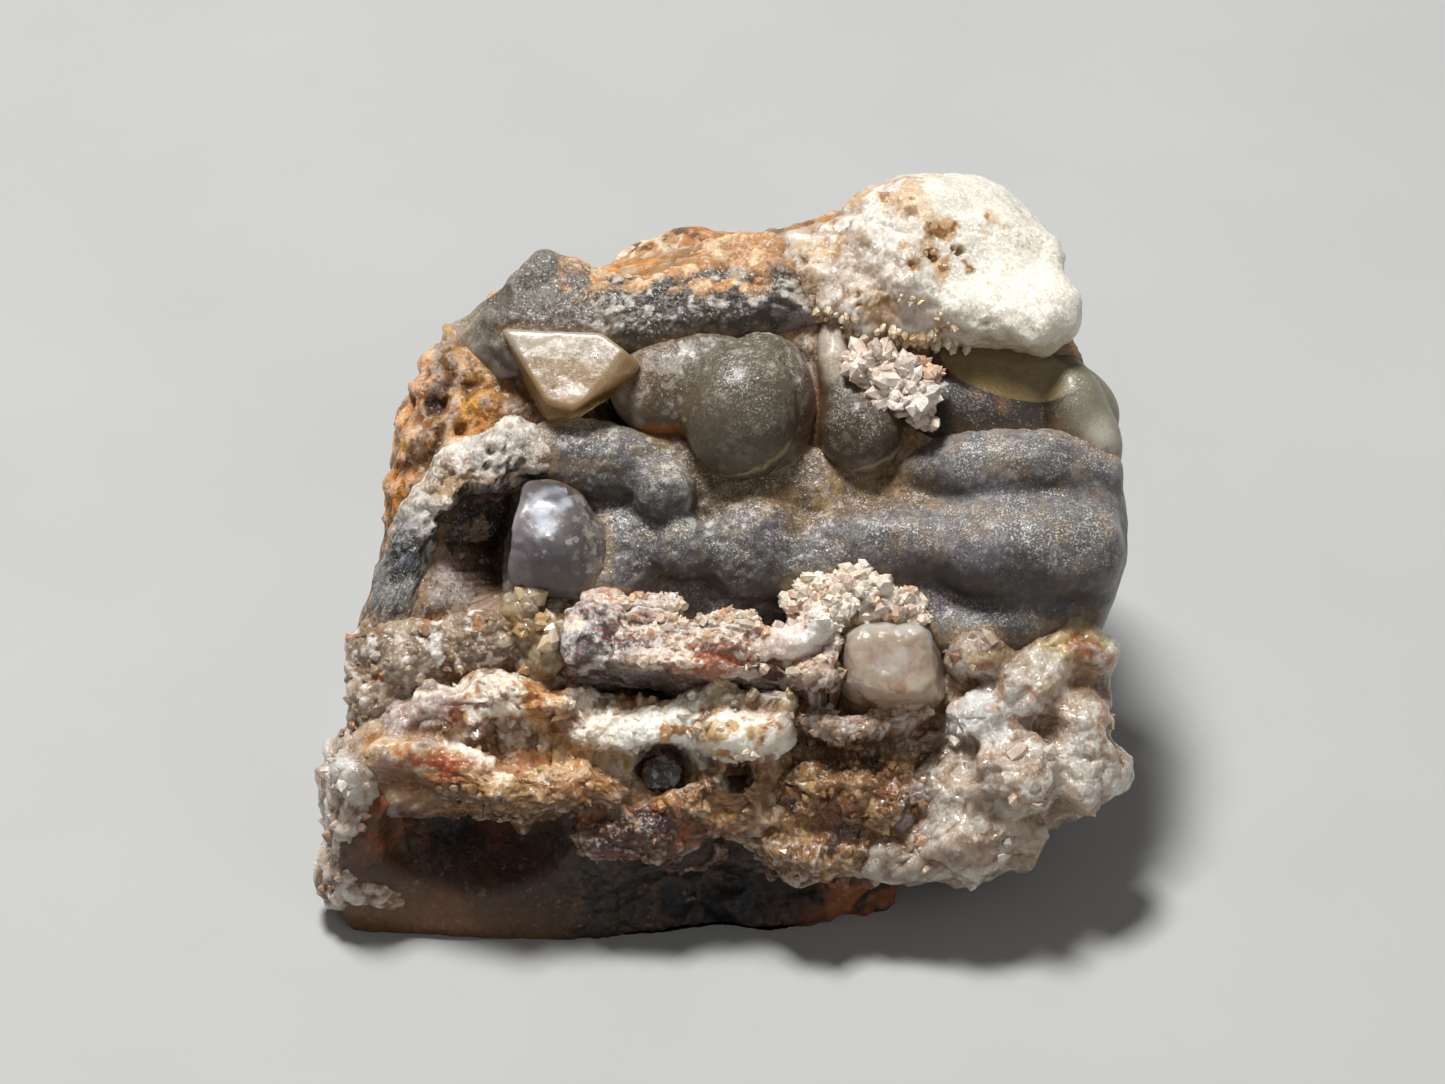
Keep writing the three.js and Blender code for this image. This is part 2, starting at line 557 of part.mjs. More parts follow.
// Botryoidal crust on the back
const BACK_CRUST = {
  frame: LEVEL, fillet: 0.6, rough: 0.25, grain: 2.2,
  forms: [
    ball({ at: [-6.4, 13.0, 13.8], half: [3.6, 1.9, 3.0] }),
    ball({ at: [-2.0, 13.4, 11.0], half: [3.4, 1.7, 2.8] }),
    ball({ at: [-7.4, 13.2, 8.8], half: [2.6, 1.6, 2.2] }),
    ball({ at: [2.6, 13.2, 14.2], half: [2.8, 1.6, 2.4] }),
  ],
};

const IN_THE_BODY = [
  CAP, LEAF, LIP, RIGHT_ROLLS, LEFT_ROLLS, ARCH, SHOULDER, LEDGE, QUARTZ, BLADE, SEAM, FOOT, RUSTY_EDGE,
  BACK_CRUST,
];
const CRISP = [BIG_DROPS, SMALL_DROP, WEDGE, LENS, CROWN, CLEAR_LUMP];

// Crystals: the tuft on the small drop, and the crown's
const DRUSES = [
  {
    frame: ON_SLOPE, at: [8.2, 19.0, 0.2], half: [1.4, 1.6, 1.1], looks: [0.1, -0.1, 1], spread: 105,
    count: 15, length: 1.6, width: 1.6,
  },
  {
    frame: ON_SLOPE, at: [6.4, 9.9, 0.8], half: [2.4, 1.2, 1.0], looks: [0, 0.4, 1], spread: 95,
    count: 13, length: 1.3, width: 1.4,
  },
];

// The body: the block and the zones that run into it, each zone measured in its own frame
const ZONE_FILLET = 0.2;
const bodyZones = IN_THE_BODY.map((zone) => {
  const inverse = zone.frame.clone().invert();
  return { distance: zoneDistance(zone), inverse };
});
function bodyDistance(place) {
  return bodyZones.reduce(
    (sum, { distance, inverse }) => joined(sum, distance(place.clone().applyMatrix4(inverse)), ZONE_FILLET),
    blockDistance(place));
}

// The grid lies along the slope: lines across it, up it and out of it, with wide cells deep in the stone
const BODY_GRID = [
  { near: -22.6, far: 22, gap: BODY_CELL },
  { near: -9, far: 31, low: -13, high: 33, gap: BODY_CELL },
  { near: -7, far: 4.5, low: -34, gap: BODY_CELL },
];

// Everything is joined and cut off flat at the foot, and any bubble that the join shut in is dropped
const GROUND = 100; // side of the box of space above the ground
function stone() {
  const onSlope = (place) => bodyDistance(place.clone().applyMatrix4(ON_SLOPE));
  const body = solidOf(surfaceNets(onSlope, BODY_GRID.map(gridLines)).applyMatrix4(ON_SLOPE));
  const crisp = CRISP.map((zone) => {
    const [low, high] = zone.around;
    const lines = low.map((near, axis) => gridLines({ near, far: high[axis], gap: CRISP_CELL }));
    return solidOf(surfaceNets(zoneDistance(zone), lines).applyMatrix4(zone.frame));
  });
  const above = solidOf(new THREE.BoxGeometry(GROUND, GROUND, GROUND).translate(0, 0, GROUND / 2));
  const whole = wasm.Manifold.union([body, ...crisp, ...DRUSES.flatMap(druse)]).intersect(above)
    .setTolerance(FINEST);
  const shells = whole.decompose();
  shells.sort((a, b) => b.volume() - a.volume());
  return shells[0];
}

const faces = stone().getMesh();
const geometry = new THREE.BufferGeometry()
  .setAttribute("position", new THREE.BufferAttribute(faces.vertProperties, 3))
  .setIndex(new THREE.BufferAttribute(faces.triVerts, 1));
const mesh = new THREE.Mesh(geometry, new THREE.MeshStandardMaterial({ color: 0x8d8078, roughness: 0.5 }));
mesh.name = "fire_agate_specimen";

const specimen = new THREE.Group();
specimen.add(mesh);
export default specimen;
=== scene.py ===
"""A fire agate specimen: one stone of chalcedony on an iron-stained matrix, about 40 mm wide."""
import math

import bpy
import numpy as np
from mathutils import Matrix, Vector


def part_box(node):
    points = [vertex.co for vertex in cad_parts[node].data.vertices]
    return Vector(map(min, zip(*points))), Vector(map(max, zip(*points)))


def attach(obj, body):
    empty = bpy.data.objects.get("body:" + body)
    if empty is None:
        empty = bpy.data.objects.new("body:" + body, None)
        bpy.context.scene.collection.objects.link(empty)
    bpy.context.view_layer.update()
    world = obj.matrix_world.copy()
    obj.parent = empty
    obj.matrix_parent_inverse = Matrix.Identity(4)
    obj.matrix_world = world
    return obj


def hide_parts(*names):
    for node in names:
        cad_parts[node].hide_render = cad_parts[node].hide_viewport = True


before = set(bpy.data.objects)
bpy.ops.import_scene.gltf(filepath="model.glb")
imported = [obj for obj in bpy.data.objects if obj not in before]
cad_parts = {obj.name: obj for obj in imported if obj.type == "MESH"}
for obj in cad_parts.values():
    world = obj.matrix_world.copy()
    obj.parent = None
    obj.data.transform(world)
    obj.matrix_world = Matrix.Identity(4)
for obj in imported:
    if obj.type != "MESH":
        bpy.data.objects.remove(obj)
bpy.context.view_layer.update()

# The block
# The real one is a chipped piece of matrix: iron-stained rock with a flat foot, whose front leans back in a
# slope. It is broken all round, so its faces are uneven, and everything else grew on it.
MM = 0.001
NODE = "fire_agate_specimen"
SLOPE = math.radians(43.3)
BRINK = np.array([0, -14.5, 8.0])
OUT_OF_SLOPE = np.array([0, -math.sin(SLOPE), math.cos(SLOPE)])
ON_SLOPE = (np.array([[1, 0, 0], [0, math.cos(SLOPE), math.sin(SLOPE)], OUT_OF_SLOPE]), BRINK)
LEVEL = (np.eye(3), np.zeros(3))


def lattice(x, y, z, seed=0):
    """A repeatable value from -1 to 1 for each whole-numbered place: its three numbers are multiplied by
    large odd numbers and added, and the sum's bits are folded over and multiplied twice."""
    mixed = (x.astype(np.int64) * 374761393 + y.astype(np.int64) * 668265263
             + z.astype(np.int64) * 1442695041 + seed * 974634777).astype(np.uint32)
    mixed = (mixed ^ (mixed >> np.uint32(13))) * np.uint32(1274126177)
    return ((mixed ^ (mixed >> np.uint32(16))).astype(np.float64) / 4294967295) * 2 - 1


def noise(points, size, seed=0):
    """Smooth noise from -1 to 1: the eight lattice values round each point, blended by 3t^2 - 2t^3."""
    at = points / size
    cell = np.floor(at)
    part = at - cell
    fade = part * part * (3 - 2 * part)
    total = 0
    for corner in range(8):
        step = [(corner >> i) & 1 for i in range(3)]
        weight = np.prod([fade[:, i] if step[i] else 1 - fade[:, i] for i in range(3)], axis=0)
        total = total + weight * lattice(*[cell[:, i] + step[i] for i in range(3)], seed)
    return total


def fractal(points, size, octaves=4, seed=0, keep=0.5):
    """A sum of noises, each half the size of the last and keep times as strong."""
    return sum(keep ** i * noise(points, size / 2 ** i, seed + i) for i in range(octaves))


def smooth(value, low, high):
    """0 below low, 1 above high, and 3t^2 - 2t^3 between."""
    t = np.clip((value - low) / (high - low), 0, 1)
    return t * t * (3 - 2 * t)


def near(points, at, half, soft=0.35):
    """A soft-edged spot: 1 inside a squeezed ball, falling to 0 over a share of its size."""
    away = np.linalg.norm((points - at) / half, axis=1)
    return 1 - smooth(away, 1 - soft, 1 + soft)


def pebbles(points, size, seed=0, jitter=0.8):
    """Distance from each point to the nearest of the scattered sites, one in each cube of the lattice, as a
    share of size, with a random value of that site. The eight cubes nearest to a point are searched."""
    at = points / size
    home = np.floor(at - 0.5)
    nearest = np.full(len(at), 9.0)
    value = np.zeros(len(at))
    for x in (0, 1):
        for y in (0, 1):
            for z in (0, 1):
                cell = home + (x, y, z)
                draws = np.stack([lattice(*cell.T, seed + i) for i in range(3)], axis=1)
                away = np.linalg.norm(cell + 0.5 + jitter / 2 * draws - at, axis=1)
                value = np.where(away < nearest, draws[:, 0], value)
                nearest = np.minimum(nearest, away)
    return nearest, value


def facets(points, size, seed=0):
    """Broken crystals: each scattered site has a block turned its own way, and the height at a point is how
    far inside the deepest of the blocks it lies, as a share of size, with a random value of that block. Its
    level sets are flat faces. The eight cubes nearest to a point are searched."""
    at = points / size
    home = np.floor(at - 0.5)
    height = np.full(len(at), -9.0)
    value = np.zeros(len(at))
    for x in (0, 1):
        for y in (0, 1):
            for z in (0, 1):
                cell = home + (x, y, z)
                draws = [lattice(*cell.T, seed + i) for i in range(6)]
                away = at - cell - 0.5 - 0.4 * np.stack(draws[:3], axis=1)
                first = np.stack(draws[3:6], axis=1) + 0.01
                first /= np.linalg.norm(first, axis=1, keepdims=True)
                second = np.cross(first, np.stack([draws[5], draws[3], draws[1]], axis=1) + 0.02)
                second /= np.linalg.norm(second, axis=1, keepdims=True)
                third = np.cross(first, second)
                sides = [np.abs(np.sum(away * side, axis=1)) for side in (first, second, third)]
                inside = 0.62 + 0.2 * draws[2] - np.max(sides, axis=0)
                value = np.where(inside > height, draws[4], value)
                height = np.maximum(height, inside)
    return height, value


def crystalline(points, sizes, seed=0, sharp=0.7):
    """Relief of broken crystals of several sizes: each size times how far it rises over its middle
    height."""
    return sum(sharp * size * (facets(points, size, seed + 9 * i)[0] - 0.4) for i, size in enumerate(sizes))


def turned(turn):
    """The matrix that turns a form about X, then Y, then Z, by degrees."""
    made = np.eye(3)
    for axis, degrees in enumerate(turn):
        c, s = math.cos(math.radians(degrees)), math.sin(math.radians(degrees))
        first, second = (axis + 1) % 3, (axis + 2) % 3
        step = np.eye(3)
        step[first, first] = step[second, second] = c
        step[first, second], step[second, first] = -s, s
        made = step @ made
    return made


def ball(at, half, turn=(0, 0, 0)):
    """A squeezed ball's distance: k(k - 1) over the length of the scaled point's slope, where k is how many
    times the half sizes the point lies out."""
    axes = turned(turn)
    half = np.array(half, float)

    def distance(points):
        local = (points - at) @ axes
        k = np.linalg.norm(local / half, axis=1)
        steep = np.linalg.norm(local / half ** 2, axis=1)
        return np.where(steep < 1e-6, -half.min(), k * (k - 1) / np.maximum(steep, 1e-6))
    return distance


def joined(a, b, fillet):
    """The smaller of two distances, less the square of their overlap within the fillet over four
    fillets."""
    mixed = np.maximum(fillet - np.abs(a - b), 0)
    return np.minimum(a, b) - mixed * mixed / (4 * fillet)


def without(a, b, fillet):
    """The first form with the second cut out of it, and the edge rounded by the fillet."""
    return -joined(-a, b, fillet)


def folded_square(count):
    """Directions all round, and the quads between them: a square of count by count cells is folded over an
    octahedron, so that its edges meet each other, and blown up to a sphere with every cell the same
    size."""
    side = np.linspace(-1, 1, count + 1)
    u, v = [a.ravel() for a in np.meshgrid(side, side)]
    inner = 1 - (np.abs(u) + np.abs(v))
    out = 1 - np.abs(inner)
    angle = np.where(out == 0, 0, (np.abs(v) - np.abs(u)) / np.where(out == 0, 1, out) + 1) * math.pi / 4
    flat = out * np.sqrt(np.maximum(2 - out * out, 0))
    rays = np.stack([np.copysign(flat * np.cos(angle), u), np.copysign(flat * np.sin(angle), v),
                     np.copysign(1 - out * out, inner)], axis=1)
    i, j = [a.ravel() for a in np.meshgrid(np.arange(count + 1), np.arange(count + 1))]
    on_side = (i == 0) | (i == count)
    on_end = (j == 0) | (j == count)
    same_i = np.where(on_end, np.minimum(i, count - i), i)
    same_j = np.where(on_side, np.minimum(j, count - j), j)
    kept, index = np.unique(same_j * (count + 1) + same_i, return_inverse=True)
    grid = index.reshape(count + 1, count + 1)
    quads = np.stack([grid[:-1, :-1], grid[:-1, 1:], grid[1:, 1:], grid[1:, :-1]], axis=-1).reshape(-1, 4)
    return rays[kept], quads


STEP = 0.85
STEPS = 60
TOUCHING = 0.005


def skin(distance, heart, core, count, reach=9.0, crowd=0.6):
    """A closed skin: rays stand on an egg-shaped core and run along its normals. Each starts far out and
    loses 0.85 of the distance at its end until that is nothing. Rays crowd towards the side that looks
    out."""
    rays, quads = folded_square(count)
    rays = rays + np.array([0, 0, crowd])
    rays /= np.linalg.norm(rays, axis=1, keepdims=True)
    core = np.array(core, float)
    start = heart + rays * core
    normal = rays / core
    normal /= np.linalg.norm(normal, axis=1, keepdims=True)
    away = np.full(len(rays), float(reach))
    live = np.arange(len(rays))
    for _ in range(STEPS):
        gap = distance(start[live] + normal[live] * away[live, None])
        away[live] = np.maximum(away[live] - STEP * gap, 0)
        live = live[(np.abs(gap) > TOUCHING) & (away[live] > 0)]
        if not len(live):
            break
    return start + normal * away[:, None], quads


def normals(points, quads):
    """Normals at the points, and the area round each: cross products of the quads' diagonals, summed at
    their corners."""
    a, b, c, d = [points[quads[:, i]] for i in range(4)]
    cross = np.cross(c - a, d - b)
    total = np.stack([sum(np.bincount(quads[:, i], cross[:, k], len(points)) for i in range(4))
                      for k in range(3)], axis=1)
    size = np.maximum(np.linalg.norm(total, axis=1), 1e-12)
    return total / size[:, None], size


def sunken(points, quads, out, rounds, size):
    """How far each point lies below the skin round it, as a share of size: the skin is evened out by taking
    each point to the mean of its quads' middles, time after time, and what that lifts a point by is its
    depth."""
    even = points
    shared = np.bincount(quads.ravel(), minlength=len(points))
    for _ in range(rounds):
        middle = even[quads].mean(axis=1)
        even = np.stack([sum(np.bincount(quads[:, i], middle[:, k], len(points)) for i in range(4))
                         for k in range(3)], axis=1) / shared[:, None]
    return np.clip(np.sum((even - points) * out, axis=1) / size, -1, 1)


PIECES = []
MARGIN = 0.01


def keep(mesh, name, kind, field, values):
    """Values kept on a mesh's points as an attribute."""
    mesh.attributes.new(name, kind, "POINT").data.foreach_set(field, values.astype(np.float32).ravel())


def piece(name, points, faces, material, place, tint, depth=None, distance=None):
    """One mesh from points in millimetres, in a frame of axes and an origin. It rides on the stone and is
    kept inside its box. Each point's tint, the way it looks up and its depth in the skin are kept as
    attributes. A piece with no depths is a heap of flat-faced crystals."""
    axes, origin = place
    world = points @ axes + origin
    low, high = [np.array(corner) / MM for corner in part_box(NODE)]
    world = np.clip(world, low + MARGIN, high - MARGIN)
    mesh = bpy.data.meshes.new(name)
    mesh.vertices.add(len(world))
    mesh.vertices.foreach_set("co", (world * MM).astype(np.float32).ravel())
    corners = faces.shape[1]
    mesh.loops.add(faces.size)
    mesh.loops.foreach_set("vertex_index", faces.astype(np.int32).ravel())
    mesh.polygons.add(len(faces))
    mesh.polygons.foreach_set("loop_start", np.arange(0, faces.size, corners, dtype=np.int32))
    mesh.polygons.foreach_set("loop_total", np.full(len(faces), corners, np.int32))
    mesh.update(calc_edges=True)
    if depth is None:
        mesh.shade_flat()
        depth = np.zeros(len(world))
    else:
        mesh.shade_smooth()
    rgba = np.concatenate([np.clip(tint, 0, 1), np.ones((len(tint), 1))], axis=1)
    keep(mesh, "tint", "FLOAT_COLOR", "color", rgba)
    looks = np.empty(len(world) * 3, np.float32)
    mesh.vertex_normals.foreach_get("vector", looks)
    keep(mesh, "rise", "FLOAT", "value", looks[2::3])
    keep(mesh, "depth", "FLOAT", "value", depth)
    mesh.materials.append(material)
    made = bpy.data.objects.new(name, mesh)
    bpy.context.scene.collection.objects.link(made)
    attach(made, "root")
    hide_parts(NODE)
    PIECES.append((made, world, distance, place))


FINE_READING = (2, 0.04)
WIDE_READING = (12, 0.12)


def grown(name, material, distance, lift, tint, heart, core, count, place=ON_SLOPE, reach=9.0,
          crowd=0.6):
    """A piece grown round a heart: the skin of its distance, raised along its normals by a lift, and
    tinted. Its depth is the mean of a fine and a wide reading. Gives back the points, their normals and the
    area round each."""
    points, quads = skin(distance, heart, core, count, reach, crowd)
    out, _ = normals(points, quads)
    points = points + out * lift(points, out)[:, None]
    out, size = normals(points, quads)
    depth = (sunken(points, quads, out, *FINE_READING) + sunken(points, quads, out, *WIDE_READING)) / 2
    piece(name, points, quads, material, place, tint(points, out), depth, distance)
    return points, out, size


def tone(red, green, blue):
    """A colour as it looks on a screen, 0 to 255, as linear light."""
    value = np.array([red, green, blue]) / 255
    return np.where(value <= 0.04045, value / 12.92, ((value + 0.055) / 1.055) ** 2.4)


def painted(base, *layers):
    """A colour for every point: the base, and over it each layer's colour by its mask."""
    colour = np.array(base, float)
    for layer, mask in layers:
        colour = colour + (layer - colour) * np.clip(mask, 0, 1)[:, None]
    return colour


def node(tree, kind, sockets=None, **settings):
    """One shader node with its settings. A socket's value is a constant or another node's output."""
    made = tree.nodes.new(kind)
    for setting, value in settings.items():
        setattr(made, setting, value)
    for socket, value in (sockets or {}).items():
        if isinstance(value, bpy.types.NodeSocket):
            tree.links.new(value, made.inputs[socket])
        else:
            made.inputs[socket].default_value = value
    return made


def mix(tree, factor, under, over, blend="MIX"):
    """Two colours mixed by a factor."""
    made = node(tree, "ShaderNodeMix", {0: factor, 6: under, 7: over}, data_type="RGBA", blend_type=blend)
    return made.outputs[2]


def sums(tree, operation, *values):
    """A sum or another operation on numbers."""
    return node(tree, "ShaderNodeMath", dict(enumerate(values)), operation=operation).outputs[0]


def ranged(tree, value, low, high, start=0.0, end=1.0):
    """A number's range between low and high, stretched smoothly from start to end."""
    made = node(tree, "ShaderNodeMapRange", {"Value": value, "From Min": low, "From Max": high,
                                            "To Min": start, "To Max": end}, interpolation_type="SMOOTHSTEP")
    return made.outputs["Result"]


def group(name, inputs, outputs):
    """An empty shader node group with named inputs and outputs, and its two end nodes."""
    tree = bpy.data.node_groups.new(name, "ShaderNodeTree")
    for socket, (kind, value) in inputs.items():
        made = tree.interface.new_socket(socket, in_out="INPUT", socket_type="NodeSocket" + kind)
        if value is not None:
            made.default_value = value
    for socket, kind in outputs.items():
        tree.interface.new_socket(socket, in_out="OUTPUT", socket_type="NodeSocket" + kind)
    return tree, tree.nodes.new("NodeGroupInput").outputs, tree.nodes.new("NodeGroupOutput").inputs


def use(tree, inner, sockets):
    """A node group placed in a material, with its own values."""
    return node(tree, "ShaderNodeGroup", sockets, node_tree=inner).outputs


def make_sparkle():
    """Fine crystal faces. Cells of the stone each tilt their own way: the height in a cell is its random
    slope times the way from the cell's middle. Some cells are marked bright: they are glossier and are
    painted as white glints."""
    tree, given, taken = group("sparkle", {"Place": ("Vector", None), "Size": ("Float", 0.2),
                                           "Share": ("Float", 0.1)},
                               {"Height": "Float", "Bright": "Float", "Shade": "Float"})
    scale = sums(tree, "DIVIDE", 1.0, given["Size"])
    cell = node(tree, "ShaderNodeTexVoronoi", {"Vector": given["Place"], "Scale": scale})
    scaled = node(tree, "ShaderNodeVectorMath", {0: given["Place"], "Scale": scale}, operation="SCALE")
    middle = node(tree, "ShaderNodeVectorMath", {0: cell.outputs["Position"], "Scale": scale},
                  operation="SCALE")
    way = node(tree, "ShaderNodeVectorMath", {0: scaled.outputs[0], 1: middle.outputs[0]},
               operation="SUBTRACT")
    slope = node(tree, "ShaderNodeVectorMath", {0: cell.outputs["Color"], 1: (0.5, 0.5, 0.5)},
                 operation="SUBTRACT")
    rise = node(tree, "ShaderNodeVectorMath", {0: way.outputs[0], 1: slope.outputs[0]},
                operation="DOT_PRODUCT")
    parts = node(tree, "ShaderNodeSeparateColor", {0: cell.outputs["Color"]})
    least = sums(tree, "SUBTRACT", 1.0, given["Share"])
    tree.links.new(sums(tree, "MULTIPLY", rise.outputs["Value"], given["Size"]), taken["Height"])
    tree.links.new(sums(tree, "GREATER_THAN", parts.outputs[0], least), taken["Bright"])
    tree.links.new(parts.outputs[1], taken["Shade"])
    return tree


def make_mottle():
    """Patches: a noise of a size, made into a mask with soft edges at a level."""
    tree, given, taken = group("mottle", {"Place": ("Vector", None), "Size": ("Float", 1.0),
                                          "Level": ("Float", 0.5), "Edge": ("Float", 0.1)},
                               {"Mask": "Float"})
    scale = sums(tree, "DIVIDE", 1.0, given["Size"])
    cloud = node(tree, "ShaderNodeTexNoise", {"Vector": given["Place"], "Scale": scale, "Detail": 4.0,
                                              "Roughness": 0.6})
    mask = ranged(tree, cloud.outputs[0], sums(tree, "SUBTRACT", given["Level"], given["Edge"]),
                  sums(tree, "ADD", given["Level"], given["Edge"]))
    tree.links.new(mask, taken["Mask"])
    return tree


SPARKLE = make_sparkle()
MOTTLE = make_mottle()
QUARTZ_IOR = 1.54
COAT_ROUGH = 0.12
CLOUD_SIZE = 1.3
SPECK_SIZE = 0.3
PATCH_SIZE = 1.9
CRUMB_SIZE = 0.1
# The white of the painted highlight on peaks, and of the painted glints.
PEAK_HIGHLIGHT_WHITE = (*tone(244, 238, 228), 1)
PAINTED_GLINT_WHITE = (*tone(245, 240, 232), 1)
CRUMB_WHITE = (*tone(226, 220, 208), 1)


def finish(name, rough, sparkle=0.12, glints=0.08, white=0.3, dust=(150, 112, 66), dusty=0.8, snow=0.0,
           gaps=(84, 58, 34), gappy=0.6, peaks=0.25, relief=1.0, grit=0.03, depth=0.0,
           radius=(1.0, 0.8, 0.6), coat=0.0, clear=0.0, variety=0.25):
    """A stone's finish. The point's own tint varies by patches and by crystal faces. It is darker and
    browner in its gaps, partly honey filling and partly painted shade, and paler on its peaks as a painted
    highlight.
    Creases hold honey-brown dust, which also stands in for painted shade in them, what looks up holds white
    crumbs, and fine crystals sparkle, painted as white glints that are stronger where they look up to the
    light. Depth is the share of light that goes in and comes out again, clear the share that passes
    through."""
    material = bpy.data.materials.new(name)
    material.use_nodes = True
    tree = material.node_tree
    shader = tree.nodes["Principled BSDF"]
    where = node(tree, "ShaderNodeTexCoord").outputs["Object"]
    place = node(tree, "ShaderNodeVectorMath", {0: where, "Scale": 1 / MM}, operation="SCALE").outputs[0]
    tint = node(tree, "ShaderNodeAttribute", attribute_name="tint").outputs["Color"]
    crease = node(tree, "ShaderNodeAttribute", attribute_name="crease").outputs["Fac"]
    rise = node(tree, "ShaderNodeAttribute", attribute_name="rise").outputs["Fac"]
    deep = node(tree, "ShaderNodeAttribute", attribute_name="depth").outputs["Fac"]
    fine = use(tree, SPARKLE, {"Place": place, "Size": sparkle, "Share": glints})
    finer = use(tree, SPARKLE, {"Place": place, "Size": sparkle * 0.45, "Share": glints * 0.6})
    cloud = use(tree, MOTTLE, {"Place": place, "Size": CLOUD_SIZE, "Level": 0.5, "Edge": 0.16})["Mask"]
    specks = use(tree, MOTTLE, {"Place": place, "Size": SPECK_SIZE, "Level": 0.5, "Edge": 0.12})["Mask"]
    shade = sums(tree, "MULTIPLY_ADD", fine["Shade"], variety, 1 - variety * 0.5)
    shade = sums(tree, "MULTIPLY", shade, sums(tree, "MULTIPLY_ADD", cloud, variety, 1 - variety * 0.5))
    shade = sums(tree, "MULTIPLY", shade,
                 sums(tree, "MULTIPLY_ADD", specks, variety * 0.8, 1 - variety * 0.4))
    grey = node(tree, "ShaderNodeCombineColor", {0: shade, 1: shade, 2: shade}).outputs[0]
    colour = mix(tree, 1.0, tint, grey, "MULTIPLY")
    # Gaps are painted darker and browner: partly honey filling, partly painted shade.
    colour = mix(tree, ranged(tree, deep, 0.0, 0.8, 0.0, gappy), colour, (*tone(*gaps), 1))
    high = sums(tree, "MULTIPLY", deep, -1.0)
    # Peaks are painted paler: a painted highlight.
    colour = mix(tree, ranged(tree, high, 0.1, 0.9, 0.0, peaks), colour, PEAK_HIGHLIGHT_WHITE)
    # Creases take the honey-brown dust colour, which also stands in for painted shade in them.
    crease_dust_and_shade = sums(tree, "MULTIPLY", crease, sums(tree, "MULTIPLY_ADD", specks, 0.7 * dusty, 0.3 * dusty))
    crease_dust_and_shade = sums(tree, "MULTIPLY", crease_dust_and_shade, ranged(tree, rise, -0.3, 0.4))
    colour = mix(tree, crease_dust_and_shade, colour, (*tone(*dust), 1))
    bright = sums(tree, "MAXIMUM", fine["Bright"], finer["Bright"])
    patches = use(tree, MOTTLE, {"Place": place, "Size": PATCH_SIZE, "Level": 0.5, "Edge": 0.12})["Mask"]
    # Bright cells are painted white as glints, more where they look up to the light.
    painted_glints = sums(tree, "MULTIPLY", bright, ranged(tree, rise, -0.2, 0.95, 0.1, 1.0))
    painted_glints = sums(tree, "MULTIPLY", painted_glints, sums(tree, "MULTIPLY_ADD", patches, 0.7, 0.3))
    colour = mix(tree, sums(tree, "MULTIPLY", painted_glints, white), colour, PAINTED_GLINT_WHITE)
    if snow:
        crumbs = use(tree, MOTTLE, {"Place": place, "Size": CRUMB_SIZE, "Level": 0.57, "Edge": 0.03})["Mask"]
        fallen = sums(tree, "MULTIPLY", crumbs, ranged(tree, rise, 0.3, 0.95, 0.0, snow))
        fallen = sums(tree, "MULTIPLY", fallen, sums(tree, "MULTIPLY_ADD", patches, 0.8, 0.2))
        colour = mix(tree, fallen, colour, CRUMB_WHITE)
    tree.links.new(colour, shader.inputs["Base Color"])
    tree.links.new(sums(tree, "MULTIPLY_ADD", bright, -rough * 0.6, rough), shader.inputs["Roughness"])
    height = sums(tree, "MULTIPLY_ADD", finer["Height"], 0.7 * relief,
                  sums(tree, "MULTIPLY", fine["Height"], relief))
    grain = node(tree, "ShaderNodeTexNoise", {"Vector": place, "Scale": 7.0, "Detail": 5.0,
                                              "Roughness": 0.7})
    height = sums(tree, "MULTIPLY_ADD", grain.outputs[0], grit, height)
    bump = node(tree, "ShaderNodeBump", {"Height": height, "Distance": MM, "Strength": 1.0})
    tree.links.new(bump.outputs[0], shader.inputs["Normal"])
    shader.inputs["IOR"].default_value = QUARTZ_IOR
    shader.inputs["Subsurface Weight"].default_value = depth
    shader.inputs["Subsurface Radius"].default_value = radius
    shader.inputs["Subsurface Scale"].default_value = MM
    shader.inputs["Coat Weight"].default_value = coat
    shader.inputs["Coat Roughness"].default_value = COAT_ROUGH
    shader.inputs["Transmission Weight"].default_value = clear
    return material


FOOT_CUT = 1.5
CRUST_DEPTH = 1.5
STEP_BACK = 1.1
EDGE_FILLET = 2.0
HOLLOW_FILLET = 0.6
HEIGHT, FRONT, BACK, LEFT, RIGHT = 24.2, 14.2, 13.6, 16.4, 17.6
HEART = np.array([0, 0, 11.0])
SLOPE_AWAY = (BRINK - HEART) @ OUT_OF_SLOPE - CRUST_DEPTH
FACES = [((0, 0, -1), HEART[2] + FOOT_CUT), ((0, -1, 0.02), FRONT), (tuple(OUT_OF_SLOPE), SLOPE_AWAY),
         ((-0.1, -0.1, 1), HEIGHT - HEART[2]), ((-0.18, 0.64, 0.76), 15.3), ((0, 1, 0.1), BACK),
         ((0, 0.8, -0.6), 15.2), ((-0.99, 0.08, 0.1), LEFT), ((-0.83, 0.36, 0.43), LEFT + 0.9),
         ((-0.62, 0.5, 0.6), LEFT + 0.6), ((1, 0, 0.02), RIGHT), ((0.37, 0.6, 0.71), 20),
         ((0.9, 0.28, 0.33), 20.6), ((0.55, -0.76, -0.34), 16.6), ((0.72, 0.69, -0.1), 18.6)]
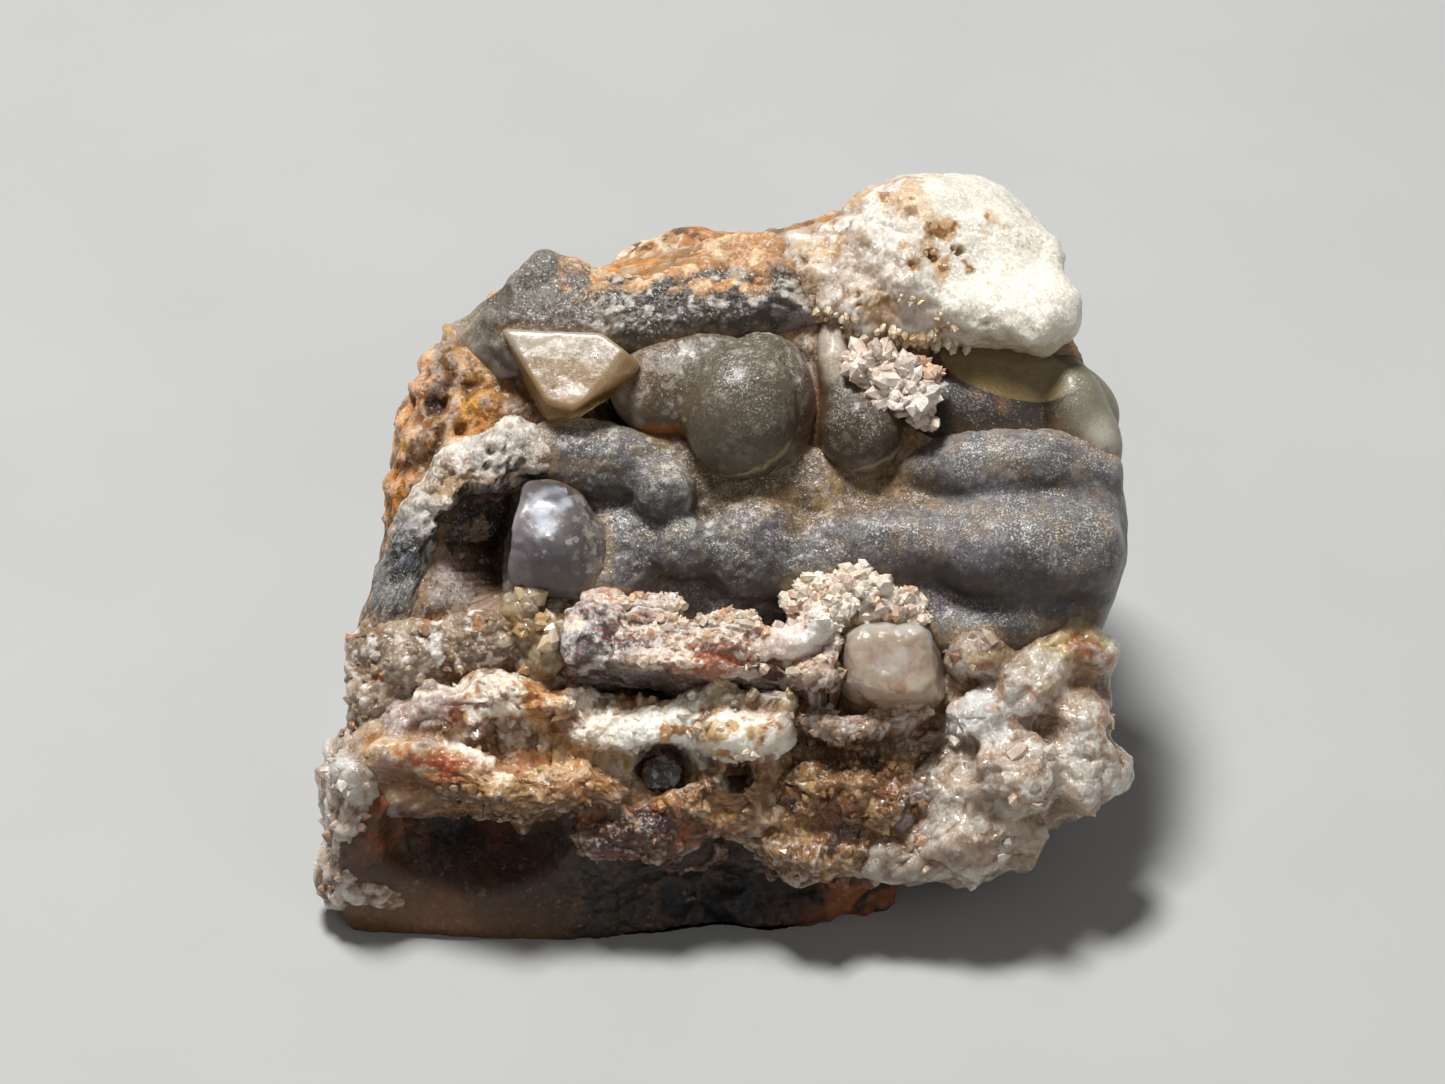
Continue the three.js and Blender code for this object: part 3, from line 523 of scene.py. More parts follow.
HOLLOWS = [(ON_SLOPE, ball((13, 20.0, -0.6), (6.8, 2.9, 3.8))),
           (ON_SLOPE, ball((0.2, 19.0, -0.8), (8.6, 3.2, 3.4))),
           (ON_SLOPE, ball((-11.2, 12.6, -0.6), (2.5, 3.4, 3.0))),
           (ON_SLOPE, ball((-3.2, 5.4, -1.0), (6.0, 0.9, 2.2))),
           (LEVEL, ball((-12.2, -15.8, 6.0), (5.2, 5.4, 3.7))),
           (LEVEL, ball((1.6, -16.4, 2.0), (9.5, 3.7, 2.9))),
           (LEVEL, ball((-13.4, -2.2, 20.6), (1.3, 1.3, 1.3))),
           (LEVEL, ball((-14.8, 0.6, 17.4), (1.2, 1.5, 1.5)))]


def to_local(points, place):
    """Places of the stone's own frame, in a frame of axes and an origin."""
    axes, origin = place
    return (points - origin) @ axes.T


def block_distance(points):
    """The block's distance: all of its faces at once, the hollows taken out, and the whole roughened."""
    faced = np.full(len(points), -99.0)
    for looks, away in FACES:
        looks = np.array(looks) / np.linalg.norm(looks)
        faced = without(faced, away - (points - HEART) @ looks, EDGE_FILLET)
    for place, hollow in HOLLOWS:
        faced = without(faced, hollow(to_local(points, place)), HOLLOW_FILLET)
    return faced - 0.6 * noise(points, 7) - 0.4 * noise(points, 2.8)


def block_flank(points):
    """Where the rusty left flank shows beside the slope."""
    across, up, deep = to_local(points, ON_SLOPE).T
    return smooth(-across, 9, 12.5) * smooth(up, 11, 15) * smooth(deep, -10, -5)


def block_lift(points, out):
    """Chips and grains, on the rusty flank bubbles and pits, and low on the front a step back behind the
    undercut's skin."""
    flank = block_flank(points)
    away, value = pebbles(points, 1.5, 11)
    fine, _ = pebbles(points, 0.7, 12)
    bubbles = flank * (1.0 * (0.5 - away) + 0.4 * (0.5 - fine))
    pits = smooth(0.5 - away, 0, 0.2) * (value > 0.45) * flank
    lift = 0.3 * np.clip(facets(points, 2.6, 5)[0], -0.2, 0.5) + 0.2 * fractal(points, 1.1, 4, 31)
    front = smooth(-points[:, 1], 8.5, 10)
    under = front * smooth(-points[:, 2], -10.5, -9) * smooth(-points[:, 0], -9.5, -8)
    return lift * (1 - 0.6 * flank) * (1 - under) + bubbles - 0.8 * pits - STEP_BACK * under


def block_tint(points, out):
    """Brown and grey rock, olive in the recess, rusty above and on the left, brown in the arch's hollow with
    painted black shade high in it.
    """
    local = to_local(points, ON_SLOPE)
    across, up, _ = local.T
    flank = block_flank(points)
    away, value = pebbles(points, 1.5, 11)
    top = smooth(points[:, 2], 18, 22) * smooth(out[:, 2], 0.1, 0.6)
    rust = np.maximum(top * smooth(fractal(points, 4.5, 3, 21), -0.6, 0.0), flank)
    hollow = near(local, (-11.4, 12.6, -1.6), (3.2, 4.2, 4.4))
    recess = near(local, (5, 19.5, -3), (15, 4.6, 4.5))
    return painted(
        tone(122, 102, 84),
        (tone(104, 98, 92), smooth(fractal(points, 3.4, 4, 41), -0.1, 0.5)),
        (tone(84, 74, 54), recess),
        (tone(142, 92, 44), recess * smooth(fractal(points, 1.5, 3, 42), 0.0, 0.5) * 0.8),
        (tone(208, 134, 48), rust),
        (tone(236, 172, 80), rust * smooth(fractal(points, 1.6, 3, 51), 0.0, 0.5)),
        (tone(110, 62, 30), rust * smooth(-fractal(points, 1.2, 3, 61), 0.15, 0.5) * 0.7),
        (tone(212, 196, 172), rust * smooth(fractal(points, 0.6, 4, 71), 0.35, 0.6) * 0.35),
        (tone(206, 192, 172), smooth(fractal(points, 0.9, 4, 72), 0.5, 0.8) * 0.7 * (1 - flank)),
        (tone(64, 40, 22), flank * smooth(away, 0.52, 0.68) * 0.8),
        (tone(24, 16, 12), flank * (value > 0.4) * smooth(0.5 - away, 0, 0.2)),
        (tone(100, 76, 62), hollow),
        (tone(150, 120, 108), hollow * smooth(fractal(points, 0.6, 3, 82), 0.1, 0.4)),
        # The top of the arch's hollow is painted near black: painted shade under the arch.
        (tone(24, 22, 24), hollow
         * smooth(up + 0.6 * noise(points, 1.5, 3) + 0.3 * (across + 11), 11.9, 13.0)))


RUSTY_MATRIX = finish("rusty_matrix", 0.78, sparkle=0.24, glints=0.05, grit=0.06)
grown("block", RUSTY_MATRIX, block_distance, block_lift, block_tint, heart=(0, 1.5, 10),
      core=(11, 8, 6.5), count=310, place=LEVEL, reach=14, crowd=0.0)

# The crust cap
# A thick crust of cream-white chalcedony lies on the right of the top. It is lumpy and pitted, stained
# ochre on its left, and its ragged brow of small crystals hangs over the recess.


def slab(at, half, turn=(0, 0, 0), edge=0.4):
    """A slab's distance: how far the point lies past the half sizes, with edges rounded by a radius."""
    axes = turned(turn)

    def distance(points):
        over = np.abs((points - at) @ axes) - half + edge
        return np.linalg.norm(np.maximum(over, 0), axis=1) + np.minimum(over.max(axis=1), 0) - edge
    return distance


def zone(forms, cuts=(), fillet=0.4, rough=0.0, grain=2.0):
    """A zone's distance: its forms joined, its cuts taken out, and its surface made uneven by noise."""
    def distance(points):
        raised = forms[0](points)
        for form in forms[1:]:
            raised = joined(raised, form(points), fillet)
        for cut in cuts:
            raised = without(raised, cut(points), fillet)
        return raised - rough * noise(points, grain) if rough else raised
    return distance


SIDES = 6
CORNERS = 2 * SIDES + 1


def crystals(name, material, skin_of, mask, tint, count, length, width, lean, place=ON_SLOPE, seed=1,
             sink=0.35):
    """Small six-sided crystals with points, in one mesh. They stand at places drawn from a skin by its area
    and a mask, along its normals and a random lean, each from half to one and a half times the size given,
    and a share of their length is sunk in the skin."""
    points, out, size = skin_of
    draw = np.random.default_rng(seed)
    chance = size * np.clip(mask, 0, 1)
    roots = draw.choice(len(points), count, p=chance / chance.sum())
    looks = out[roots] + lean * draw.normal(size=(count, 3)) / math.sqrt(3)
    looks /= np.linalg.norm(looks, axis=1, keepdims=True)
    side = np.cross(looks, draw.normal(size=(count, 3)))
    side /= np.linalg.norm(side, axis=1, keepdims=True)
    other = np.cross(looks, side)
    scale = draw.uniform(0.5, 1.5, (count, 1))
    long = length * scale * draw.uniform(0.7, 1.3, (count, 1))
    wide = width / 2 * scale
    flat = draw.uniform(0.6, 1.0, (count, 1))
    turn = np.arange(SIDES) * 2 * math.pi / SIDES
    ring = (side[:, None] * (np.cos(turn)[:, None] * wide[:, :, None])
            + other[:, None] * (np.sin(turn)[:, None] * (wide * flat)[:, :, None]))
    root = points[roots] - looks * long * sink
    shoulder = root + looks * np.maximum(long - wide * 1.1, long * 0.3)
    corners = np.concatenate([root[:, None] + ring * 0.9, shoulder[:, None] + ring,
                              (root + looks * long)[:, None]], axis=1)
    i = np.arange(SIDES)
    j = (i + 1) % SIDES
    flank = [np.stack([i, j, j + SIDES], 1), np.stack([i, j + SIDES, i + SIDES], 1)]
    point = np.stack([i + SIDES, j + SIDES, np.full(SIDES, CORNERS - 1)], 1)
    foot = [[0, 2, 1], [0, 3, 2], [0, 4, 3], [0, 5, 4]]
    around = np.concatenate([*flank, point, foot])
    faces = (np.arange(count)[:, None, None] * CORNERS + around).reshape(-1, 3)
    shade = draw.uniform(0.88, 1.1, (count, 1))
    shown = np.repeat(tint(points[roots], out[roots]) * shade, CORNERS, axis=0)
    piece(name, corners.reshape(-1, 3), faces, material, place, shown)


CAP = zone(
    [slab((11.9, 5.1, 24.7), (4.6, 3.2, 1.7), (28, 20, 0), 1.5), ball((8.9, 6.8, 25.8), (3.2, 2.8, 2.5)),
     ball((5.6, 6.4, 24.4), (3.0, 2.4, 1.8)), ball((6.9, 4.4, 23.9), (3.2, 2.0, 1.6)),
     ball((8.8, 3.8, 23.3), (2.6, 1.8, 1.2)), ball((13.4, 3.5, 23.9), (3.4, 2.0, 1.3)),
     ball((15.0, 3.9, 23.9), (1.8, 2.2, 1.5)), ball((11.6, 8.2, 24.2), (5.0, 4.0, 2.9), (-6, 14, 0))],
    fillet=1.4, rough=0.35, grain=3.0)


def cap_ochre(points):
    """Where the cap is stained: in patches over its left and middle."""
    left = smooth(-points[:, 0], -12.5, -8)
    middle = near(points, (11.4, 4.6, 27.0), (2.2, 2.8, 2.0))
    return np.maximum(left * 0.8, middle) * smooth(fractal(points, 1.3, 4, 101), -0.1, 0.35)


def cap_lift(points, out):
    """Lumps, fine grains and flat chips, with broken crystal faces along the brow and on the left."""
    brow = np.maximum(smooth(-out[:, 1], 0.45, 0.85) * 0.6, smooth(-points[:, 0], -10.0, -7.5))
    away, value = pebbles(points, 1.3, 103)
    pits = smooth(0.45 - away, 0, 0.3) * (value > 0.2) * smooth(cap_ochre(points), 0.1, 0.6)
    return (brow * crystalline(points, (1.6, 0.7), 104, 0.45)
            + (1 - brow) * crystalline(points, (3.0,), 108, 0.16)
            + 0.08 * fractal(points, 1.0, 4, 105) - 0.5 * pits)


def cap_tint(points, out):
    """Cream white, ochre where it is stained, greyer on the left, greenish low on the right."""
    left = smooth(-points[:, 0], -10.5, -7.5)
    return painted(
        tone(240, 233, 218),
        (tone(206, 190, 172), left),
        (tone(240, 232, 220), left * smooth(fractal(points, 1.2, 4, 109), 0.0, 0.3) * 0.9),
        (tone(226, 224, 200), near(points, (15.0, 1.2, 22.6), (3.0, 2.5, 1.8)) * 0.7),
        (tone(206, 160, 96), cap_ochre(points) * 0.8),
        (tone(150, 104, 56), cap_ochre(points) * smooth(fractal(points, 0.7, 3, 110), 0.1, 0.4)),
        (tone(216, 182, 132), smooth(-out[:, 2], -0.1, 0.4) * (0.35 + 0.5 * left)))


CHALCEDONY = finish("pale_chalcedony", 0.4, sparkle=0.14, glints=0.05, dusty=0.6, gaps=(150, 98, 52),
                    gappy=0.6, depth=0.45, radius=(1.2, 1.0, 0.8), variety=0.08, coat=0.2, grit=0.02,
                    relief=0.7)
CRUST = grown("crust_cap", CHALCEDONY, CAP, cap_lift, cap_tint, heart=(11.2, 5.4, 24.4),
              core=(4.4, 2.4, 0.7), count=240, place=LEVEL, crowd=0.3)
SUGAR = finish("crystal_sugar", 0.18, sparkle=0.1, glints=0.1, dusty=0.5, variety=0.1, coat=0.6, relief=0.25)
BROW = (smooth(-CRUST[1][:, 2], -0.1, 0.3) * smooth(-CRUST[0][:, 1], -5, -3)
        * smooth(-CRUST[0][:, 0], -12, -9))


def brow_tint(points, out):
    """Cream with honey in patches."""
    return painted(
        tone(240, 226, 200),
        (tone(212, 170, 112), smooth(fractal(points, 0.9, 3, 263), -0.1, 0.4) * 0.8))


crystals("brow_crystals", SUGAR, CRUST, BROW, brow_tint, count=520, length=0.5, width=0.34,
         lean=0.8, place=LEVEL, seed=2)

# The olive agate
# Under the right of the cap the stone is olive-grey agate: a smooth, flat, leaf-shaped face that leans in,
# and a rounded flank beside it. It is polished by nature and has no crystals.
FLANK = zone([ball((17.0, 18.4, -2.3), (1.8, 3.6, 2.0), (0, 0, 10)),
              ball((18.0, 17.4, -1.7), (0.9, 1.4, 1.0))], fillet=0.9)
LEAF = zone([ball((13.4, 19.3, -3.6), (5.8, 3.4, 2.6), (-10, 4, 0)),
             ball((13.7, 21.1, -1.5), (3.8, 1.5, 0.55), (0, 0, -15)), FLANK], fillet=0.3, rough=0.12,
            grain=2.5)


def leaf_lift(points, out):
    """Almost smooth: faint ripples only."""
    return 0.03 * fractal(points, 1.4, 3, 111)


def leaf_tint(points, out):
    """Dark olive, paler on the leaf and darker round its edge, partly as painted shadow of the brow above,
    greyish green on the flank.
    """
    away = np.linalg.norm((points - (13.7, 21.1, -1.2)) @ turned((0, 0, -15)) / (3.8, 1.55, 2.6), axis=1)
    leaf = 1 - smooth(away, 0.86, 0.92)
    rim = smooth(away, 0.86, 0.94) * (1 - smooth(away, 1.02, 1.15))
    flank = smooth(points[:, 0], 15.4, 17.4)
    return painted(
        tone(42, 31, 14),
        # The darker rim is partly a painted shadow of the brow above the leaf.
        (tone(32, 22, 10), rim * 0.8),
        (tone(128, 106, 60), leaf),
        (tone(132, 118, 80), leaf * smooth(points[:, 0], 14, 17)),
        (tone(134, 130, 108), flank * 0.85),
        (tone(112, 70, 30), smooth(fractal(points, 1.6, 3, 112), 0.1, 0.5) * (1 - leaf) * (1 - flank)
         * 0.5),
        (tone(214, 208, 192), near(points, (18.1, 17.5, -0.8), (0.8, 1.2, 0.9), 0.6) * 0.5))


AGATE = finish("smooth_agate", 0.4, sparkle=0.08, glints=0.03, white=0.2, dust=(96, 66, 34), dusty=0.6,
               gaps=(50, 38, 20), relief=0.25, depth=0.5, radius=(1.2, 1.0, 0.7), coat=0.12, variety=0.14,
               grit=0.015, peaks=0.1)
grown("olive_agate", AGATE, LEAF, leaf_lift, leaf_tint, heart=(14.0, 19.8, -5.0),
      core=(4.0, 3.4, 1.0), count=170)

# The lip
# A roll of grey agate runs along the top edge on the left, with a knob at its end. Its crest is set with
# fine black and white crystals, rust has spread over its back, and it shades the drops.


def roll(path, radii):
    """A roll's distance: from the nearest place on a row of straight stretches, less the radius there."""
    path = np.array(path, float)

    def distance(points):
        nearest = np.full(len(points), 99.0)
        for start, end, first, last in zip(path[:-1], path[1:], radii[:-1], radii[1:]):
            along = end - start
            share = np.clip((points - start) @ along / (along @ along), 0, 1)
            away = np.linalg.norm(points - start - share[:, None] * along, axis=1)
            nearest = np.minimum(nearest, away - first - (last - first) * share)
        return nearest
    return distance


LIP = zone(
    [roll([(-13.6, 3.2, 20.0), (-12.2, 4.2, 21.9), (-9.8, 5.0, 23.9), (-8.2, 5.4, 24.5), (-6.6, 4.8, 23.2)],
          (0.5, 0.8, 1.2, 1.2, 1.2)),
     roll([(-9.6, 3.2, 21.8), (-5.0, 3.5, 22.6), (-1.6, 3.7, 23.1), (1.6, 3.9, 23.5), (4.2, 4.4, 23.6)],
          (1.5, 2.0, 1.6, 1.2, 1.2)),
     ball((-9.8, 3.8, 21.4), (3.6, 2.0, 2.5), (0, -30, 0)), ball((-8.4, 5.8, 22.8), (1.8, 2.2, 1.8)),
     ball((-4.6, 4.9, 22.6), (4.0, 2.2, 1.5)), ball((1.6, 6.2, 23.7), (4.4, 2.6, 1.5), (0, -6, 0))],
    fillet=1.2, rough=0.5, grain=2.4)


def lip_rust(points):
    """Rust on the lip's back and in patches on its middle."""
    back = smooth(points[:, 1] + 0.8 * fractal(points, 1.6, 3, 121), 4.4, 5.6)
    back = back * smooth(points[:, 0], -8.2, -6.8)
    patch = near(points, (-6.6, 5.2, 24.2), (1.6, 1.6, 1.2))
    middle = near(points, (-1.2, 4.6, 24.6), (3.8, 1.2, 1.4))
    return np.maximum(back, np.maximum(patch, middle) * smooth(fractal(points, 1.0, 3, 122), -0.1, 0.25))


def lip_lift(points, out):
    """Fine crystals on the crest and the back, smoother below, broken faces at the knob."""
    crest = smooth(out[:, 2], 0.2, 0.8) * smooth(points[:, 0], -8.5, -6)
    left = smooth(-points[:, 0], 6.5, 8.5)
    return ((0.06 + 0.2 * crest) * fractal(points, 1.0, 4, 123)
            + crest * crystalline(points, (0.5,), 124, 0.4)
            + left * crystalline(points, (2.6, 1.2), 260, 0.22))


def lip_tint(points, out):
    """Grey agate, darker in the middle, rusty behind, with a pale knob, a sparkling crest, and painted shade
    on what looks down on the right.
    """
    crest = smooth(out[:, 2], 0.3, 0.8) * smooth(points[:, 0], -7, -5)
    right = smooth(points[:, 0], -6, -4)
    return painted(
        tone(88, 77, 64),
        (tone(66, 57, 48), right * 0.75),
        (tone(44, 38, 36), smooth(fractal(points, 0.7, 4, 125), 0.0, 0.3) * crest * 0.8),
        (tone(206, 198, 186), smooth(fractal(points, 0.5, 4, 126), 0.15, 0.4) * (0.15 + 0.6 * crest)),
        (tone(112, 106, 98), near(points, (-8.6, 5.2, 25.0), (2.0, 2.4, 1.4)) * 0.7),
        (tone(148, 134, 114), near(points, (-12.4, 3.4, 21.6), (1.8, 2.0, 2.0)) * 0.7),
        (tone(190, 134, 76), lip_rust(points) * 0.95),
        (tone(222, 186, 140), lip_rust(points) * smooth(fractal(points, 0.8, 3, 127), 0.0, 0.4)),
        # What looks down on the right is painted dark brown: painted shade under the lip.
        (tone(62, 44, 30), smooth(-out[:, 2], -0.1, 0.5) * right * 0.85))


GREY_AGATE = finish("grey_agate", 0.42, sparkle=0.1, glints=0.08, white=0.5, dusty=0.6, snow=0.3,
                    relief=0.6, depth=0.35, variety=0.25, coat=0.06)
grown("agate_lip", GREY_AGATE, LIP, lip_lift, lip_tint, heart=(-3.2, 4.4, 21.8),
      core=(8.0, 1.6, 0.5), count=230, place=LEVEL, crowd=0.3)
BACK_OF_TOP = zone([roll([(-6.6, 6.6, 21.4), (-2.4, 7.0, 21.8), (1.0, 8.0, 22.5), (4.4, 8.2, 23.2)],
                         (1.2, 1.4, 1.6, 1.8)), ball((0.0, 9.0, 21.6), (6.0, 3.0, 1.8))], fillet=1,
                   rough=0.35, grain=1.8)


def back_lift(points, out):
    """Grains of four sizes."""
    return 0.2 * fractal(points, 1.2, 4, 128)


def back_tint(points, out):
    """Ochre rust with cream and brown flecks."""
    return painted(
        tone(196, 150, 104),
        (tone(228, 206, 176), smooth(fractal(points, 0.9, 4, 129), 0.1, 0.4)),
        (tone(178, 112, 52), smooth(fractal(points, 1.6, 4, 130), 0.0, 0.4) * 0.9),
        (tone(116, 78, 46), smooth(fractal(points, 0.7, 4, 120), 0.25, 0.5)))


grown("back_of_top", RUSTY_MATRIX, BACK_OF_TOP, back_lift, back_tint, heart=(-0.4, 8, 22),
      core=(5, 2, 0.5), count=150, place=LEVEL)

# The drops
# Agate drops hang in the recess like wet clay: one large round one in two layers, a smaller one under the
# lip, and a small drop on a stalk to their right. They are translucent, greyish olive, and almost smooth.
BIG_DROPS = zone(
    [zone([ball((0.85, 18.9, 0.1), (2.8, 3.2, 2.5)), ball((-3.0, 20.0, -1.1), (2.5, 2.1, 1.8), (0, 0, -14)),
           ball((-1.2, 21.0, -0.9), (2.8, 1.8, 1.8))], fillet=0.9),
     ball((1.9, 19.3, -1.2), (2.6, 3.6, 2.2))], fillet=0.1, rough=0.12)
SMALL_DROP = zone([ball((6.6, 18.1, -0.9), (2.05, 2.1, 1.9)), ball((4.5, 19.0, -2.2), (1.1, 3.2, 1.1)),
                   roll([(5.4, 23.4, -1.6), (5.3, 21.5, -0.8), (5.7, 19.6, -0.9)], (0.9, 0.75, 0.9))],
                  fillet=0.5, rough=0.06)


def drop_lift(points, out):
    """Fine pitting, a little stronger on what looks up the slope."""
    above = smooth(out[:, 1], 0.2, 0.8)
    return 0.02 * fractal(points, 0.5, 3, 131) + 0.05 * above * fractal(points, 0.4, 3, 132)


def drop_tint(points, out):
    """Greyish olive, browner on the right, with a painted rim light in a thin pale line low on the right,
    and pale dust above.
    """
    across = points[:, 0]
    # A thin pale line low on the right, set by the way the surface looks, is a painted rim light.
    rim = -out[:, 1] + 0.5 * out[:, 0] - 0.5 * out[:, 2]
    painted_rim_light = smooth(rim, 0.66, 0.72) * (1 - smooth(rim, 0.76, 0.84))
    left = smooth(-across + 0.4 * noise(points, 1, 135), 0.8, 2.4)
    dust = smooth(out[:, 1] + 0.5 * fractal(points, 0.9, 4, 133), 0.3, 0.9)
    return painted(
        tone(86, 76, 58),
        (tone(100, 82, 60), left),
        (tone(68, 50, 30), smooth(across, 3.2, 4.0) * 0.9),
        (tone(168, 152, 120), painted_rim_light * 0.8),
        (tone(116, 106, 94), dust * 0.6),
        (tone(182, 174, 162), smooth(fractal(points, 0.4, 4, 134), 0.25, 0.5)
         * (0.15 + 0.5 * dust + 0.3 * left)),
        (tone(176, 160, 140), near(points, (5.4, 22.0, -0.4), (0.9, 1.8, 1.2)) * 0.9),
        (tone(92, 56, 26), near(points, (4.4, 18.8, -1.4), (0.7, 3.0, 1.4)) * 0.8),
        (tone(170, 104, 40), near(points, (-3.6, 17.9, -1.0), (2.6, 0.5, 1.6)) * 0.8))


DROP_AGATE = finish("drop_agate", 0.3, sparkle=0.07, glints=0.05, white=0.45, dust=(120, 78, 38), dusty=0.8,
                    snow=0.35, relief=0.4, depth=0.5, radius=(1.2, 1.1, 0.8), coat=0.1, variety=0.16,
                    grit=0.02)
grown("big_drops", DROP_AGATE, BIG_DROPS, drop_lift, drop_tint, heart=(0.2, 19.2, -1.6),
      core=(2.6, 1.2, 0.6), count=170)
grown("small_drop", DROP_AGATE, SMALL_DROP, drop_lift, drop_tint, heart=(6.1, 19.2, -1.4),
      core=(0.5, 1.2, 0.4), count=120)

# The wedge
# A pale broken piece of chalcedony sits under the left of the lip, with flat glassy faces and a point that
# hangs down. It is beige, whiter along its top and amber at its lower right.


def broken(planes, edge):
    """A broken block's distance: the farthest of the point's distances from its faces, each a direction and
    how far away it is, with the edges rounded."""
    def distance(points):
        deepest = np.full(len(points), -99.0)
        for looks, away in planes:
            looks = np.array(looks) / np.linalg.norm(looks)
            deepest = without(deepest, away - points @ looks, edge)
        return deepest
    return distance


WEDGE = broken([((0.05, 1, 0.1), 22.2), ((0.62, 0.78, 0.1), 14.1), ((1, -0.1, 0.1), -5.9),
                ((0.56, -0.83, 0), -19.4), ((-0.3, -0.95, 0.1), -15.4), ((-0.88, -0.47, 0.1), -1.4),
                ((-0.1, 0.25, 0.96), 7.2), ((0.45, -0.15, 0.88), -4.1), ((0, 0, -1), 1.8)], 0.22)


def wedge_lift(points, out):
    """Faint steps and flat chips."""
    return crystalline(points, (2.2,), 141, 0.04) + 0.02 * fractal(points, 1.2, 3, 142)


def wedge_tint(points, out):
    """Beige, with a white top edge and an amber corner."""
    return painted(
        tone(196, 160, 108),
        (tone(240, 228, 204), smooth(points[:, 1], 21.3, 21.9) * 0.7),
        (tone(190, 118, 48), near(points, (-4.4, 19.4, 0.2), (2.0, 1.0, 1.8)) * 0.8),
        (tone(222, 202, 168), smooth(fractal(points, 1.4, 3, 143), -0.2, 0.8) * 0.5))


WEDGE_GLASS = finish("wedge_glass", 0.3, sparkle=0.2, glints=0.02, relief=0.06, dusty=0.4, depth=0.6,
                     radius=(1.4, 1.0, 0.6), coat=0.1, clear=0.6, variety=0.12, grit=0.01, peaks=0.1)
grown("wedge", WEDGE_GLASS, WEDGE, wedge_lift, wedge_tint, heart=(-6.8, 20.6, -0.5),
      core=(1.6, 0.5, 0.4), count=130)

# The tuft
# A tuft of little clear quartz crystals grew on the small drop. They point every way, and those at its
# upper right are stained amber.
TUFT = zone([ball((8.6, 20.3, 0.0), (1.6, 1.5, 1.2)), ball((7.3, 20.9, 0.2), (1.2, 1.2, 1.0)),
             ball((9.4, 19.0, -0.1), (1.0, 1.0, 0.8))], fillet=0.4, rough=0.2, grain=0.9)


def tuft_lift(points, out):
    """Crystal faces all over."""
    return crystalline(points, (1.1, 0.5), 151, 0.8)


def tuft_tint(points, out):
    """Clear white with a touch of pink, amber on the upper right."""
    return painted(
        tone(242, 230, 218),
        (tone(206, 142, 84), near(points, (10.0, 21.2, 0), (0.9, 1.3, 1.4)) * 0.8),
        (tone(214, 190, 172), smooth(fractal(points, 0.8, 3, 152), 0.1, 0.5) * 0.5),
        (tone(212, 186, 160), smooth(-points[:, 2], -0.9, 0.2) * 0.6))


TUFT_SKIN = grown("tuft", SUGAR, TUFT, tuft_lift, tuft_tint, heart=(8.4, 20.2, -0.4),
                  core=(0.8, 0.7, 0.4), count=90)
TUFT_FRONT = smooth(TUFT_SKIN[0][:, 2], -0.6, 0.2)
crystals("tuft_crystals", SUGAR, TUFT_SKIN, TUFT_FRONT, tuft_tint, count=150, length=0.95,
         width=0.54, lean=0.75, seed=3, sink=0.45)

# The rolls
# Grey-violet chalcedony grew across the slope in fat rolls and globules, like a row of bubbles. White dust
# lies on what looks up, and honey-coloured dust in the creases.
ROLLS = zone([slab((3.6, 13.0, -2.7), (14.0, 4.8, 1.8), (2, 0, 0), 1.6),
              ball((16.6, 13.0, -2.4), (2.7, 5.6, 2.6)),
              ball((13.6, 16.2, -1.3), (5.3, 2.0, 2.3), (0, 0, 2)),
              ball((14.6, 12.2, -0.5), (4.7, 2.8, 2.8)),
              ball((8.4, 12.6, -1.1), (4.8, 2.4, 2.2), (0, 0, 3)),
              ball((13.2, 8.8, -1.5), (4.2, 1.9, 2.0), (0, 0, 8)), ball((8.4, 9.8, -1.6), (3.0, 1.7, 1.7)),
              ball((-6.0, 16.6, -0.7), (4.2, 2.0, 1.8), (0, 0, -12)),
              ball((-2.9, 15.0, -0.1), (1.6, 1.5, 1.5)), ball((-1.9, 12.3, -0.3), (1.7, 1.6, 1.5)),
              ball((-4.6, 12.6, -1.1), (2.2, 2.6, 1.4)), ball((1.4, 12.4, -0.7), (2.6, 2.6, 1.9)),
              ball((4.2, 11.4, -0.9), (2.2, 2.2, 1.7)), ball((0.6, 14.9, -1.5), (2.6, 1.6, 1.4)),
              ball((4.6, 15.2, -1.9), (3.4, 1.3, 1.3)), ball((-1.6, 17.2, -2.0), (5.0, 1.5, 1.5)),
              ball((-5.6, 10.8, -0.7), (1.2, 1.2, 1.1))], fillet=0.7, rough=0.3, grain=2.4)


def roll_lift(points, out):
    """Almost smooth on the right, with a fine grain to the left and where it looks up the slope."""
    grainy = smooth(-points[:, 0] + 2 * noise(points, 3, 166), -9, -4)
    rough = np.maximum(grainy, smooth(out[:, 1], 0.2, 0.8))
    grain = 0.05 * fractal(points, 0.45, 3, 162) + crystalline(points, (0.35,), 167, 0.1)
    return 0.06 * fractal(points, 1.1, 3, 161) + rough * grain


